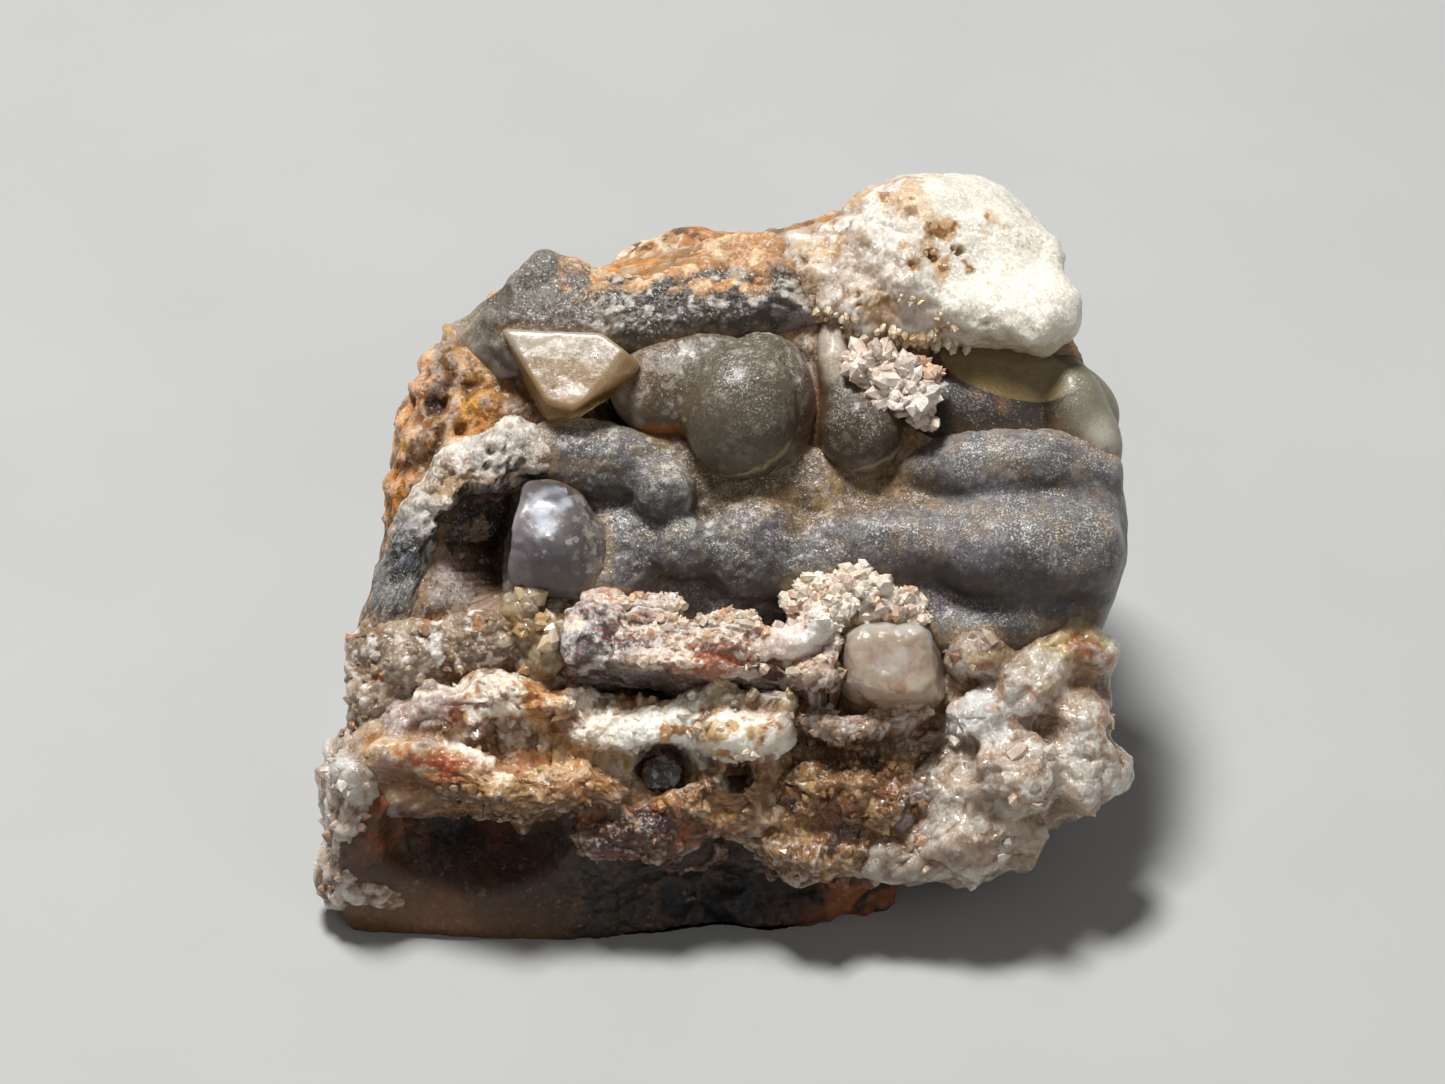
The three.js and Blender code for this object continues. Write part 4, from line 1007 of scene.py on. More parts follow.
def roll_tint(points, out):
    """Slate grey with a little violet, paler and dustier on top, honey dust in patches, and painted shade
    on what looks down the slope.
    """
    up = smooth(out[:, 1] + 0.4 * fractal(points, 1.5, 4, 163), 0.0, 0.9)
    left = smooth(-points[:, 0], -8, -3)
    middle = np.maximum(near(points, (4.0, 15.2, -1.4), (7.0, 2.2, 2.5)),
                        near(points, (-2.0, 17.4, -1.4), (4.0, 1.0, 1.4)))
    return painted(
        tone(84, 81, 80),
        (tone(94, 88, 94), smooth(fractal(points, 3.5, 3, 164), 0, 0.5)),
        (tone(80, 75, 72), left * smooth(fractal(points, 1.1, 4, 168), -0.1, 0.3) * 0.7),
        (tone(114, 110, 106), up * 0.75),
        (tone(104, 76, 42), middle * 0.9),
        (tone(140, 112, 66), smooth(fractal(points, 1.0, 4, 165), 0.2, 0.5) * (0.3 + 0.5 * middle)),
        (tone(206, 200, 190), smooth(fractal(points, 0.35, 4, 169), 0.3, 0.5) * (0.15 + 0.5 * up * left)),
        # What looks down the slope is painted darker: painted shade under the rolls.
        (tone(64, 58, 54), smooth(-out[:, 1], 0.1, 0.8) * 0.6))


ROLL_AGATE = finish("slate_agate", 0.5, sparkle=0.08, glints=0.07, white=0.5, dust=(140, 108, 66),
                    dusty=0.9, snow=0.6, gaps=(58, 48, 38), relief=0.4, depth=0.35, radius=(1.0, 1.0, 1.0),
                    coat=0.06, variety=0.2, grit=0.02)
grown("rolls", ROLL_AGATE, ROLLS, roll_lift, roll_tint, heart=(3.8, 13.2, -6.6),
      core=(13.0, 5.4, 1.6), count=300, crowd=0.8)

# The lens and the arch
# On the left a globule broke open and shows violet-grey glass with shell-like steps. Beside it a shell of
# grainy crust grew in an arch over a hollow, which is brown, painted black above as shade under the arch.
LENS = zone([ball((-8.4, 12.8, -0.4), (2.7, 2.9, 2.3), (0, 0, 8)),
             ball((-6.6, 12.0, -0.9), (1.8, 2.2, 1.8))],
            [slab((-12.2, 13.2, 0.6), (2.3, 3.6, 4.2), (0, 0, -12), 0.1),
             ball((-10.0, 10.4, 2.4), (1.9, 1.3, 1.5))], fillet=0.35, rough=0.25, grain=1.7)
ARCH = zone([roll([(-15.4, 7.4, -2.4), (-15.5, 9.8, -1.9), (-14.7, 12.8, -0.9), (-13.6, 14.8, -0.5),
                   (-12.0, 16.1, -0.2), (-10.4, 16.8, -0.2), (-8.8, 16.9, -0.6)],
                  (1.3, 1.4, 1.2, 1.3, 1.6, 1.7, 1.5))], [ball((-11.3, 12.5, 0.8), (2.4, 2.9, 3.2))],
            fillet=0.3, rough=0.3, grain=1.4)


def lens_lift(points, out):
    """Shell-like steps round the lower left."""
    away = np.linalg.norm(points - (-10.4, 11.0, 1.4), axis=1)
    steps = np.abs((away / 0.55) % 1 - 0.5)
    steps = steps * near(points, (-9.4, 11.8, 0.6), (1.8, 1.8, 1.8))
    return 0.06 * steps + 0.02 * fractal(points, 0.9, 3, 171)


def lens_tint(points, out):
    """Violet-grey glass with a bluish-white patch of painted reflection, a paler shell on the left, and a
    grainy right side.
    """
    warp = points + 0.5 * np.stack([fractal(points, 1.2, 3, 177 + i) for i in range(3)], axis=1)
    return painted(
        tone(98, 91, 92),
        (tone(70, 63, 66), near(warp, (-8.0, 15.0, 0.6), (2.4, 0.9, 2.0)) * 0.8),
        # The bluish-white patch is a painted reflection on the glass.
        (tone(196, 200, 210), near(warp, (-8.3, 13.7, 1.6), (0.6, 1.1, 1.4), 0.5) * 0.75),
        (tone(150, 138, 142), near(warp, (-9.6, 12.2, 0.6), (0.8, 1.6, 1.8)) * 0.6),
        (tone(82, 74, 76), near(warp, (-8.4, 11.9, 1.4), (1.6, 0.35, 1.4)) * 0.6),
        (tone(128, 122, 108), smooth(fractal(points, 0.5, 4, 188), 0.0, 0.4)
         * smooth(points[:, 0], -7.4, -6.2)),
        (tone(206, 200, 190), smooth(fractal(points, 0.3, 4, 187), 0.35, 0.55)
         * smooth(points[:, 0], -7.8, -6.4) * 0.4))


def arch_lift(points, out):
    """A grainy crust with pits along its middle."""
    away, value = pebbles(points, 0.9, 178)
    pits = smooth(0.45 - away, 0, 0.3) * (value > 0.2) * near(points, (-11.2, 16.2, 0.8), (2.4, 0.9, 1.6))
    return 0.16 * fractal(points, 1.1, 4, 172) + crystalline(points, (1.0, 0.5), 173, 0.4) - 0.4 * pits


def arch_tint(points, out):
    """Cream crust, honey along its inner edge, blue-black at its lower left, dark inside, and painted shade
    on what faces into the hollow.
    """
    low = near(points, (-15.6, 10.8, -0.8), (2.2, 3.2, 2.6))
    inner = near(points, (-11.2, 15.0, 0.2), (2.8, 1.0, 2.0))
    inside = near(points, (-11.6, 13.2, -1.5), (2.7, 2.3, 1.4), 0.2)
    return painted(
        tone(216, 208, 196),
        (tone(150, 124, 92), smooth(fractal(points, 1.0, 4, 174), 0, 0.4) * 0.7),
        (tone(188, 150, 98), inner * 0.7),
        (tone(240, 234, 222), smooth(fractal(points, 0.5, 3, 176), 0.1, 0.4) * 0.7),
        (tone(34, 34, 38), low * 0.95),
        (tone(150, 156, 170), low * smooth(fractal(points, 0.35, 3, 175), 0.35, 0.5) * 0.8),
        (tone(60, 46, 38), inside),
        (tone(140, 108, 94), inside * smooth(fractal(points, 0.6, 3, 179), 0.1, 0.4) * 0.8),
        # What faces into the hollow is painted darker: painted shade.
        (tone(52, 40, 34), smooth(out[:, 0] - out[:, 1] - 0.4 * out[:, 2], 0.5, 1.0)))


VIOLET_GLASS = finish("violet_glass", 0.4, sparkle=0.3, glints=0.02, relief=0.06, dusty=0.3, depth=0.5,
                      radius=(1.0, 1.0, 1.2), coat=0.12, clear=0.1, variety=0.16, grit=0.01)
grown("lens", VIOLET_GLASS, LENS, lens_lift, lens_tint, heart=(-7.6, 12.8, -1.4),
      core=(1.0, 1.4, 0.4), count=130)
DRUSY = finish("grainy_crust", 0.45, sparkle=0.1, glints=0.1, white=0.6, dusty=0.6, snow=0.3, depth=0.25,
               variety=0.3)
grown("arch", DRUSY, ARCH, arch_lift, arch_tint, heart=(-12.4, 14.6, -1.6), core=(2.2, 2.0, 0.5),
      count=150)

# The shoulder
# Left of the ledge a low shoulder of grainy pink-brown quartz carries the hollow's lower rim. A few knobs
# and crystals of clear brown quartz grew between it and the globule.
SHOULDER = zone([slab((-12.6, 7.0, -2.6), (5.2, 2.6, 1.6), (0, 0, 6), 1.2),
                 ball((-14.4, 7.4, -1.4), (3.0, 2.0, 1.8)), ball((-11.2, 8.0, -0.9), (2.6, 1.8, 1.5)),
                 ball((-16.6, 5.6, -2.0), (1.4, 2.0, 1.5)), ball((-8.4, 8.8, -1.0), (1.9, 1.4, 1.3))],
                fillet=0.7, rough=0.35, grain=1.7)


def shoulder_lift(points, out):
    """Grains of three sizes."""
    return crystalline(points, (1.6, 0.8, 0.4), 181, 0.35)


def shoulder_tint(points, out):
    """Pinkish brown and grey, with paler chips and rust."""
    return painted(
        tone(136, 114, 90),
        (tone(184, 166, 144), smooth(fractal(points, 1.1, 4, 182), 0.0, 0.4) * 0.8),
        (tone(104, 80, 62), smooth(fractal(points, 1.3, 3, 183), 0.1, 0.5) * 0.8),
        (tone(172, 112, 58), smooth(fractal(points, 0.9, 4, 184), 0.3, 0.55) * 0.8),
        (tone(236, 228, 218), smooth(fractal(points, 0.5, 4, 185), 0.4, 0.6) * 0.8))


SHOULDER_SKIN = grown("shoulder", CHALCEDONY, SHOULDER, shoulder_lift, shoulder_tint,
                      heart=(-12.6, 7.2, -3.4), core=(3.4, 1.4, 0.8), count=170)
SHOULDER_FRONT = smooth(SHOULDER_SKIN[0][:, 2], -2.4, -1.4)
crystals("shoulder_crystals", SUGAR, SHOULDER_SKIN, SHOULDER_FRONT, shoulder_tint, count=150,
         length=0.5, width=0.42, lean=0.9, seed=11, sink=0.55)
BROWN_KNOBS = zone([ball((-9.4, 8.9, -0.4), (1.3, 1.8, 1.2)), ball((-7.8, 8.0, -0.4), (1.2, 1.6, 1.2)),
                    ball((-8.8, 7.0, -0.6), (1.5, 1.4, 1.1)), ball((-6.6, 9.6, -0.8), (1.1, 1.0, 1.0))],
                   fillet=0.25, rough=0.3, grain=1.2)


def knob_lift(points, out):
    """Flat broken faces."""
    return crystalline(points, (1.5, 0.7), 258, 0.4)


def knob_tint(points, out):
    """Clear greyish brown, olive in its depth, with pale edges."""
    return painted(
        tone(214, 190, 150),
        (tone(180, 140, 86), smooth(fractal(points, 1.2, 3, 186), 0.0, 0.4) * 0.8),
        (tone(232, 218, 196), smooth(fractal(points, 0.8, 4, 259), 0.15, 0.45) * 0.7))


GLASSY = finish("clear_crystal", 0.16, sparkle=0.3, glints=0.03, white=0.3, relief=0.15, dusty=0.4,
                gaps=(190, 150, 112), gappy=0.4, depth=0.5, radius=(1.6, 1.2, 0.9), coat=0.2, clear=0.5,
                variety=0.06, grit=0.02, peaks=0.3)
KNOBS_SKIN = grown("brown_knobs", GLASSY, BROWN_KNOBS, knob_lift, knob_tint,
                   heart=(-8.4, 8.2, -1.0), core=(0.9, 0.9, 0.4), count=110)
KNOBS_FRONT = smooth(KNOBS_SKIN[0][:, 2], -0.4, 0.4)
crystals("brown_crystals", SUGAR, KNOBS_SKIN, KNOBS_FRONT, knob_tint, count=16, length=0.9,
         width=0.8, lean=0.6, seed=4, sink=0.5)

# The ledge
# Plates of purple-brown and pink chalcedony stand in front of the rolls and rise to the right, with rusty
# layers between them and cream crumbs along their upper edge. A pinkish globule closes the gap beneath.
LEDGE = zone([slab((-4.6, 8.2, -0.5), (3.3, 1.7, 1.8), (-12, 0, 6), 0.6),
              slab((-1.6, 7.4, 0.4), (4.0, 1.5, 1.7), (-14, 0, -5), 0.4),
              slab((1.9, 6.9, 0.2), (3.4, 1.2, 1.5), (-18, 0, -7), 0.3),
              ball((-2.4, 9.4, 0.3), (1.0, 0.9, 0.9)), ball((0.6, 9.0, 0), (2.0, 1.0, 1.0))],
             [ball((-4.2, 5.2, 0.6), (2.4, 0.9, 1.6))], fillet=0.4, rough=0.7, grain=1.9)
LAYER = 0.42


def ledge_layer(points):
    """How far up through the plates a point lies, in layers that lean and waver."""
    leaning = points[:, 1] + 0.12 * points[:, 0] - 0.25 * points[:, 2]
    return (leaning + 0.35 * fractal(points, 1.6, 3, 191)) / LAYER


def ledge_lift(points, out):
    """Layers worn back in steps, with chips, and blocky crystals on top."""
    layer = ledge_layer(points)
    step = np.abs(layer % 1 - 0.5) * 2
    hard = lattice(np.floor(layer), np.zeros(len(layer)), np.zeros(len(layer)), 192)
    front = smooth(out[:, 2], -0.2, 0.5)
    top = smooth(out[:, 1], 0.1, 0.6)
    return (0.12 * front * hard * (1 - step ** 4) + crystalline(points, (1.7, 0.7), 193, 0.36)
            + top * crystalline(points, (0.9,), 190, 0.5) + 0.05 * fractal(points, 0.5, 3, 194))


def ledge_tint(points, out):
    """Purple-brown, pink and white layers with rust between them, cream crumbs on top, and painted shadow
    under the ledge.
    """
    layer = ledge_layer(points)
    kind = lattice(np.floor(layer), np.zeros(len(layer)), np.ones(len(layer)), 195)
    seam = smooth(np.abs(layer % 1 - 0.5), 0.3, 0.45)
    top = smooth(out[:, 1] + 0.3 * fractal(points, 0.8, 3, 189), 0.1, 0.5)
    left = near(points, (-6.8, 7.8, 0.6), (2.8, 2.6, 2.4))
    under = near(points, (-4.2, 5.4, 0.6), (3.0, 1.1, 2.2))
    return painted(
        tone(166, 134, 116),
        (tone(230, 214, 198), smooth(kind, 0.05, 0.25) * 0.9),
        (tone(112, 80, 76), smooth(-kind, 0.3, 0.5) * 0.85),
        (tone(84, 70, 72), left * 0.85),
        (tone(214, 204, 204), left * smooth(fractal(points, 0.6, 4, 188), 0.15, 0.4) * 0.8),
        (tone(168, 84, 44), seam * smooth(fractal(points, 1.4, 3, 196), -0.3, 0.2) * 0.85),
        (tone(190, 104, 48), near(points, (-0.4, 6.7, 1.4), (1.4, 0.6, 2.0)) * 0.8),
        (tone(240, 222, 198), top * smooth(fractal(points, 0.7, 4, 197), -0.3, 0.1) * 0.9),
        (tone(198, 128, 74), top * smooth(fractal(points, 1.0, 4, 198), 0.25, 0.5) * 0.6),
        (tone(244, 236, 226), smooth(fractal(points, 0.5, 4, 199), 0.35, 0.55) * 0.6),
        # Under the ledge the stone is painted dark brown: painted shadow in the gap beneath.
        (tone(52, 36, 26), under * 0.9))


PLATES = finish("layered_plates", 0.45, sparkle=0.16, glints=0.1, white=0.5, dust=(150, 84, 40), dusty=0.7,
                snow=0.25, gaps=(96, 52, 34), gappy=0.7, depth=0.3, variety=0.15, coat=0.1)
LEDGE_SKIN = grown("ledge", PLATES, LEDGE, ledge_lift, ledge_tint, heart=(-1.0, 7.4, -3.0),
                   core=(5.4, 1.4, 0.8), count=240, crowd=0.7)
LEDGE_TOP = (smooth(LEDGE_SKIN[1][:, 1], 0.3, 0.8) * smooth(LEDGE_SKIN[0][:, 2], -0.4, 0.6)
             * smooth(LEDGE_SKIN[0][:, 0], -5.4, -4.0))


def crumb_tint(points, out):
    """Cream, honey in patches."""
    return painted(
        tone(238, 220, 196),
        (tone(204, 146, 98), smooth(fractal(points, 0.8, 3, 200), 0.2, 0.5) * 0.7))


crystals("ledge_crumbs", SUGAR, LEDGE_SKIN, LEDGE_TOP, crumb_tint, count=200, length=0.5,
         width=0.42, lean=0.9, seed=5, sink=0.6)

# The crown and the clear lump
# A druse of cream crystals grew on the ledge's right end, with a white rib running down from it. Right under
# it sits a clear lump of quartz with a flat top edge and white veils inside.
CROWN = zone([ball((6.3, 9.9, 0.5), (2.7, 1.5, 1.4)), ball((4.2, 10.0, 0.3), (1.4, 1.0, 1.0)),
              ball((8.4, 9.2, 0.1), (1.4, 1.2, 1.2)),
              roll([(5.4, 9.4, 0.9), (4.2, 8.2, 1.3), (2.6, 7.4, 1.2), (1.0, 6.8, 1.0)],
                   (1.2, 1.0, 0.9, 0.6))], fillet=0.4, rough=0.35, grain=1.2)
CLEAR_LUMP = zone([broken([((0, 1, 0.25), 8.7), ((0.1, 0.1, 1), 3.6), ((-1, -0.05, 0.35), -5.2),
                           ((-0.7, 0.7, 0.2), 2.0), ((1, 0.1, 0.3), 10.6), ((0.8, 0.6, 0.2), 12.9),
                           ((0.6, -0.8, 0.2), 2.1), ((-0.6, -0.75, 0.3), -7.1), ((0, -1, 0.3), -4.2),
                           ((0, 0, -1), 2.0)], 0.7)], rough=0.12, grain=1.6)


def crown_lift(points, out):
    """Crystal faces, with the rib kept smoother."""
    rib = near(points, (3.4, 7.9, 1.4), (2.4, 1.2, 1.6))
    return (1 - 0.7 * rib) * crystalline(points, (1.2, 0.6), 201, 0.75) + 0.05 * fractal(points, 0.6, 3, 202)


def crown_tint(points, out):
    """Cream and pink, honey between the crystals, and a white rib."""
    rib = near(points, (3.4, 7.9, 1.4), (2.4, 1.2, 1.6))
    return painted(
        tone(255, 244, 226),
        (tone(220, 172, 118), smooth(fractal(points, 0.9, 4, 203), 0.2, 0.5) * 0.55),
        (tone(248, 240, 232), rib),
        (tone(226, 190, 174), smooth(fractal(points, 1.5, 3, 204), 0.1, 0.5) * 0.5))


def lump_lift(points, out):
    """Wide flat faces."""
    return crystalline(points, (2.0, 0.9), 205, 0.16)


def lump_tint(points, out):
    """Clear greyish beige with a light top edge, white veils and rusty flecks below."""
    low = smooth(-points[:, 1], -6.0, -4.9)
    return painted(
        tone(224, 200, 174),
        (tone(248, 238, 224), smooth(fractal(points, 1.3, 4, 206), -0.2, 0.7) * 0.7),
        (tone(248, 240, 228), smooth(points[:, 1], 7.7, 8.3) * 0.6),
        (tone(220, 188, 144), low * 0.5),
        (tone(176, 110, 62), smooth(fractal(points, 0.5, 3, 207), 0.4, 0.6) * (0.2 + 0.5 * low)))


CROWN_SKIN = grown("crown", CHALCEDONY, CROWN, crown_lift, crown_tint, heart=(5.6, 9.0, -0.4),
                   core=(2.2, 0.6, 0.3), count=150)
CROWN_TOP = smooth(CROWN_SKIN[0][:, 2], -0.6, 0.2) * smooth(CROWN_SKIN[0][:, 1], 8.2, 9.0)
crystals("crown_crystals", SUGAR, CROWN_SKIN, CROWN_TOP, crown_tint, count=420, length=0.5,
         width=0.5, lean=0.8, seed=6, sink=0.5)
grown("clear_lump", GLASSY, CLEAR_LUMP, lump_lift, lump_tint, heart=(7.8, 6.4, -0.6),
      core=(1.0, 0.9, 0.6), count=130)

# The quartz
# Knobs of frosted quartz grew over the right end of the front. They are greyish beige, glassy where they
# broke, stained yellow and orange above, and the lowest of them hang clear of the ground.
QUARTZ = zone([ball((14.6, 3.0, -4.0), (3.6, 4.4, 2.8)), ball((12.4, 7.4, -0.6), (1.8, 1.4, 1.6)),
               ball((16.4, 7.4, -1.2), (2.4, 1.9, 2.0)), ball((14.4, 5.8, -0.8), (2.0, 1.8, 1.8)),
               ball((12.2, 4.2, -0.6), (1.8, 1.5, 1.6)), ball((17.0, 4.4, -1.8), (1.9, 2.1, 2.3)),
               ball((13.6, 1.6, -0.6), (2.5, 2.4, 2.2)), ball((17.1, 2.1, -2.2), (2.4, 2.2, 2.7)),
               ball((15.6, 0.8, -4.2), (2.6, 1.6, 2.4)), ball((10.8, 1.2, -1.2), (2.1, 2.0, 1.7)),
               ball((11.8, -1.2, -1.6), (2.6, 1.9, 2.1)), ball((13.7, -1.2, -3.4), (2.2, 1.8, 2.8)),
               ball((11.4, -2.3, -3.8), (2.8, 1.5, 2.2)), ball((14.2, 5.6, -2.2), (4.6, 3.2, 1.9)),
               ball((8.4, -2.2, -2.6), (2.6, 1.7, 2.0))], fillet=0.35, rough=0.4, grain=1.9)


def quartz_lift(points, out):
    """Broken faces of two sizes, except on the smooth dome at the top left."""
    dome = near(points, (12.4, 7.6, 0.4), (1.9, 1.3, 1.6))
    low = smooth(-points[:, 1], -4.5, -2)
    faces = crystalline(points, (2.6, 1.2), 211, 0.38)
    grains = (0.4 + 0.6 * low) * crystalline(points, (0.55,), 219, 0.2)
    return (1 - 0.9 * dome) * (faces + grains) + 0.03 * fractal(points, 0.6, 3, 213)


def quartz_tint(points, out):
    """Pale greyish beige, with yellow and orange stains above and white chips."""
    across, up, _ = points.T
    high = smooth(up, 4.5, 7.0)
    white = near(points, (12.6, 4.4, 0.4), (1.9, 1.4, 2.0))
    return painted(
        tone(210, 188, 164),
        (tone(236, 226, 212), smooth(fractal(points, 1.6, 4, 214), -0.1, 0.2) * 0.8),
        (tone(214, 186, 120), high * smooth(fractal(points, 1.2, 3, 215), -0.1, 0.3) * 0.8),
        (tone(176, 108, 50), smooth(fractal(points, 1.3, 4, 216), 0.25, 0.5) * (0.4 + 0.5 * high)),
        (tone(160, 132, 106), smooth(fractal(points, 1.4, 4, 220), 0.15, 0.4) * 0.7),
        (tone(248, 244, 238), smooth(fractal(points, 0.9, 4, 217), 0.3, 0.6) * 0.4),
        (tone(248, 242, 234), white * smooth(fractal(points, 1.0, 3, 221), -0.4, 0.1)),
        (tone(150, 122, 96), smooth(-across, -11, -8.5) * 0.5))


FROSTED = finish("frosted_quartz", 0.16, sparkle=0.13, glints=0.06, white=0.5, dust=(150, 100, 56),
                 dusty=0.6, relief=0.8, gaps=(138, 92, 54), gappy=0.8, depth=0.45, radius=(1.3, 1.0, 0.8),
                 coat=0.45, clear=0.2, variety=0.1, peaks=0.4)
QUARTZ_SKIN = grown("quartz", FROSTED, QUARTZ, quartz_lift, quartz_tint, heart=(13.4, 2.2, -4.6),
                    core=(3.4, 3.4, 0.9), count=300, crowd=0.7)
QUARTZ_PATCHES = (smooth(QUARTZ_SKIN[0][:, 2], -3.5, -2) * 0.6
                  * smooth(fractal(QUARTZ_SKIN[0], 1.4, 3, 218), 0.0, 0.3))
crystals("quartz_crystals", SUGAR, QUARTZ_SKIN, QUARTZ_PATCHES, quartz_tint, count=40, length=0.7,
         width=0.6, lean=0.9, seed=7, sink=0.5)

# The blade and the brown quartz
# A dark blade of agate lies under the clear lump, broken off level with the front. Below it brown quartz
# runs down to the brink, glassy and honey coloured between its grains.
BLADE = zone([slab((6.2, 1.6, -2.6), (5.4, 3.8, 1.6), (0, 0, 0), 1.2),
              roll([(2.6, 4.6, -0.1), (5.8, 3.6, 0.3), (9.4, 4.8, 0)], (0.8, 1.0, 0.8)),
              ball((4.4, 6.0, 0.8), (1.3, 1.1, 1.3)), ball((6.4, 0.8, -1.4), (4.2, 2.0, 1.9)),
              ball((4.4, -1.8, -2.2), (3.2, 1.7, 1.9))], fillet=0.4, rough=0.35, grain=1.4)


def blade_lift(points, out):
    """Broken faces, smaller on the blade."""
    return crystalline(points, (1.6, 0.8, 0.4), 221, 0.5) + 0.06 * fractal(points, 0.6, 3, 222)


def blade_tint(points, out):
    """Dark purple-grey blade, honey-brown quartz below with white crystals on its right."""
    blade = smooth(points[:, 1], 2.4, 3.2)
    right = near(points, (10.0, -0.6, -1.0), (1.6, 2.4, 2.0))
    return painted(
        tone(146, 104, 58),
        (tone(200, 164, 110), smooth(fractal(points, 1.0, 4, 223), 0.1, 0.4) * 0.8),
        (tone(144, 82, 40), smooth(fractal(points, 1.2, 4, 224), 0.1, 0.4) * 0.7),
        (tone(70, 46, 30), smooth(fractal(points, 1.0, 4, 227), 0.25, 0.45) * 0.9),
        (tone(208, 194, 194), right * smooth(fractal(points, 0.8, 3, 226), -0.2, 0.2)),
        (tone(180, 152, 128), blade * 0.92),
        (tone(214, 206, 198), blade * smooth(fractal(points, 0.6, 4, 225), 0.15, 0.4) * 0.8))


BLADE_SKIN = grown("blade", FROSTED, BLADE, blade_lift, blade_tint, heart=(5.6, 1.4, -3.8),
                   core=(3.2, 2.6, 0.8), count=200, crowd=0.7)
BLADE_FRONT = smooth(BLADE_SKIN[0][:, 2], -2.6, -1.6)
crystals("blade_crystals", SUGAR, BLADE_SKIN, BLADE_FRONT, blade_tint, count=120, length=0.55,
         width=0.45, lean=1.0, seed=8, sink=0.5)

# The seam and the lintel
# A pale seam of quartz crystals grew across the front in two bands, with honey between them and a pocket
# that holds a dark nodule. The lower band is the lintel over the hollow of the foot.
SEAM = zone([slab((-6.4, 2.4, -2.4), (10.2, 3.2, 1.7), (0, 0, -4), 1.2),
             ball((1.0, 3.5, 0.3), (2.6, 1.4, 1.6)), ball((-3.4, 3.7, -0.4), (3.8, 1.3, 1.4)),
             ball((0.8, 5.2, 0.4), (2.8, 0.8, 1.3)),
             roll([(-17.0, 3.2, -1.6), (-13.8, 4.6, -0.6), (-10.4, 5.3, -0.4), (-7.0, 4.6, -0.8)],
                  (0.9, 1.3, 1.5, 1.3)),
             roll([(-17.4, 1.4, -1.0), (-16.2, 2.6, -0.3), (-14.4, 2.6, -0.1), (-12.6, 1.6, -0.1),
                   (-10.8, 0.9, -0.2), (-8.4, 1.0, -0.6), (-5.6, 0.8, -1.0)],
                  (0.8, 1.0, 1.0, 1.2, 1.3, 1.2, 1.2)), ball((-0.6, 0.6, -1.3), (2.8, 1.6, 1.5)),
             ball((-4.0, -1.0, -2.0), (3.4, 1.5, 1.6))],
            [ball((-2.9, 2.0, 0), (1.4, 1.2, 2.0)), ball((0.8, 1.5, -0.2), (0.8, 0.6, 1.4))], fillet=0.4,
            rough=0.45, grain=1.6)


def seam_lift(points, out):
    """Grains and broken faces, smoother on the far left's rim and on the white lump."""
    rim = smooth(-points[:, 0], 12.5, 14.5) * smooth(-points[:, 1], -3.6, -2.6)
    rim = np.maximum(rim, near(points, (0.0, 3.5, 0.8), (3.6, 1.3, 2.4)))
    seen = smooth(out[:, 2], -0.8, -0.2)
    broken_faces = crystalline(points, (1.8, 0.8, 0.4), 231, 0.42) * seen
    return (broken_faces + 0.06 * fractal(points, 0.6, 3, 232)) * (1 - 0.7 * rim)


def seam_tint(points, out):
    """Cream white, with honey gaps, a dark red patch and a rusty rim on the left, and painted shade under
    the lintel and in the two pockets.
    """
    across, up, _ = points.T
    left = smooth(-across, 10.5, 13.5)
    upper = smooth(up, 2.4, 3.2)
    lump = near(points, (-1.2, 3.4, 0.6), (5.0, 1.4, 2.6))
    strip = near(points, (-4.0, -1.2, -1.0), (3.2, 1.3, 2.4))
    return painted(
        tone(208, 172, 122),
        (tone(250, 238, 220), smooth(fractal(points, 1.4, 4, 233), -0.2, 0.15)
         * (0.45 + 0.5 * smooth(up, 1.0, 2.2))),
        (tone(186, 124, 64), smooth(fractal(points, 1.1, 4, 234), 0.1, 0.4) * 0.85),
        (tone(112, 70, 40), smooth(fractal(points, 1.0, 4, 239), 0.3, 0.5) * 0.8),
        (tone(168, 120, 68), smooth(-up, -2.6, -1.0) * smooth(fractal(points, 1.5, 3, 262), -0.5, 0.1)
         * 0.8),
        (tone(178, 162, 158), left * upper * smooth(fractal(points, 2.2, 3, 240), -0.2, 0.3) * 0.8),
        (tone(128, 66, 44), near(points, (-10.6, 4.4, 0.6), (3.2, 1.0, 1.6))
         * smooth(fractal(points, 1.4, 3, 235), 0.0, 0.3) * 0.9),
        (tone(168, 84, 40), near(points, (-14.0, 1.8, 0), (2.8, 0.8, 1.6))
         * smooth(fractal(points, 0.8, 3, 236), -0.2, 0.2)),
        (tone(255, 247, 232), lump * smooth(fractal(points, 0.9, 4, 241), -0.6, -0.3)),
        (tone(70, 36, 18), strip * 0.97),
        (tone(164, 84, 28), strip * smooth(fractal(points, 1.0, 4, 229), 0.05, 0.3)),
        (tone(200, 176, 150), strip * smooth(fractal(points, 0.5, 4, 257), 0.35, 0.55) * 0.5),
        (tone(128, 120, 100), near(points, (0.8, 5.2, 0.8), (2.8, 0.6, 1.6)) * 0.7),
        (tone(56, 34, 26), strip * smooth(fractal(points, 0.9, 4, 228), 0.1, 0.3)),
        # What looks down under the lintel is painted dark brown: painted shade.
        (tone(88, 54, 27), smooth(-out[:, 1] - 0.3 * out[:, 2], 0.1, 0.6) * smooth(-up, -2.2, -0.8) * 0.85),
        # The two pockets are painted dark: painted shade in them.
        (tone(48, 40, 38), near(points, (-2.9, 2.0, -1.4), (1.5, 1.3, 1.2)) * 0.95),
        (tone(40, 30, 26), near(points, (0.8, 1.5, -1.0), (0.8, 0.7, 1.0)) * 0.95))


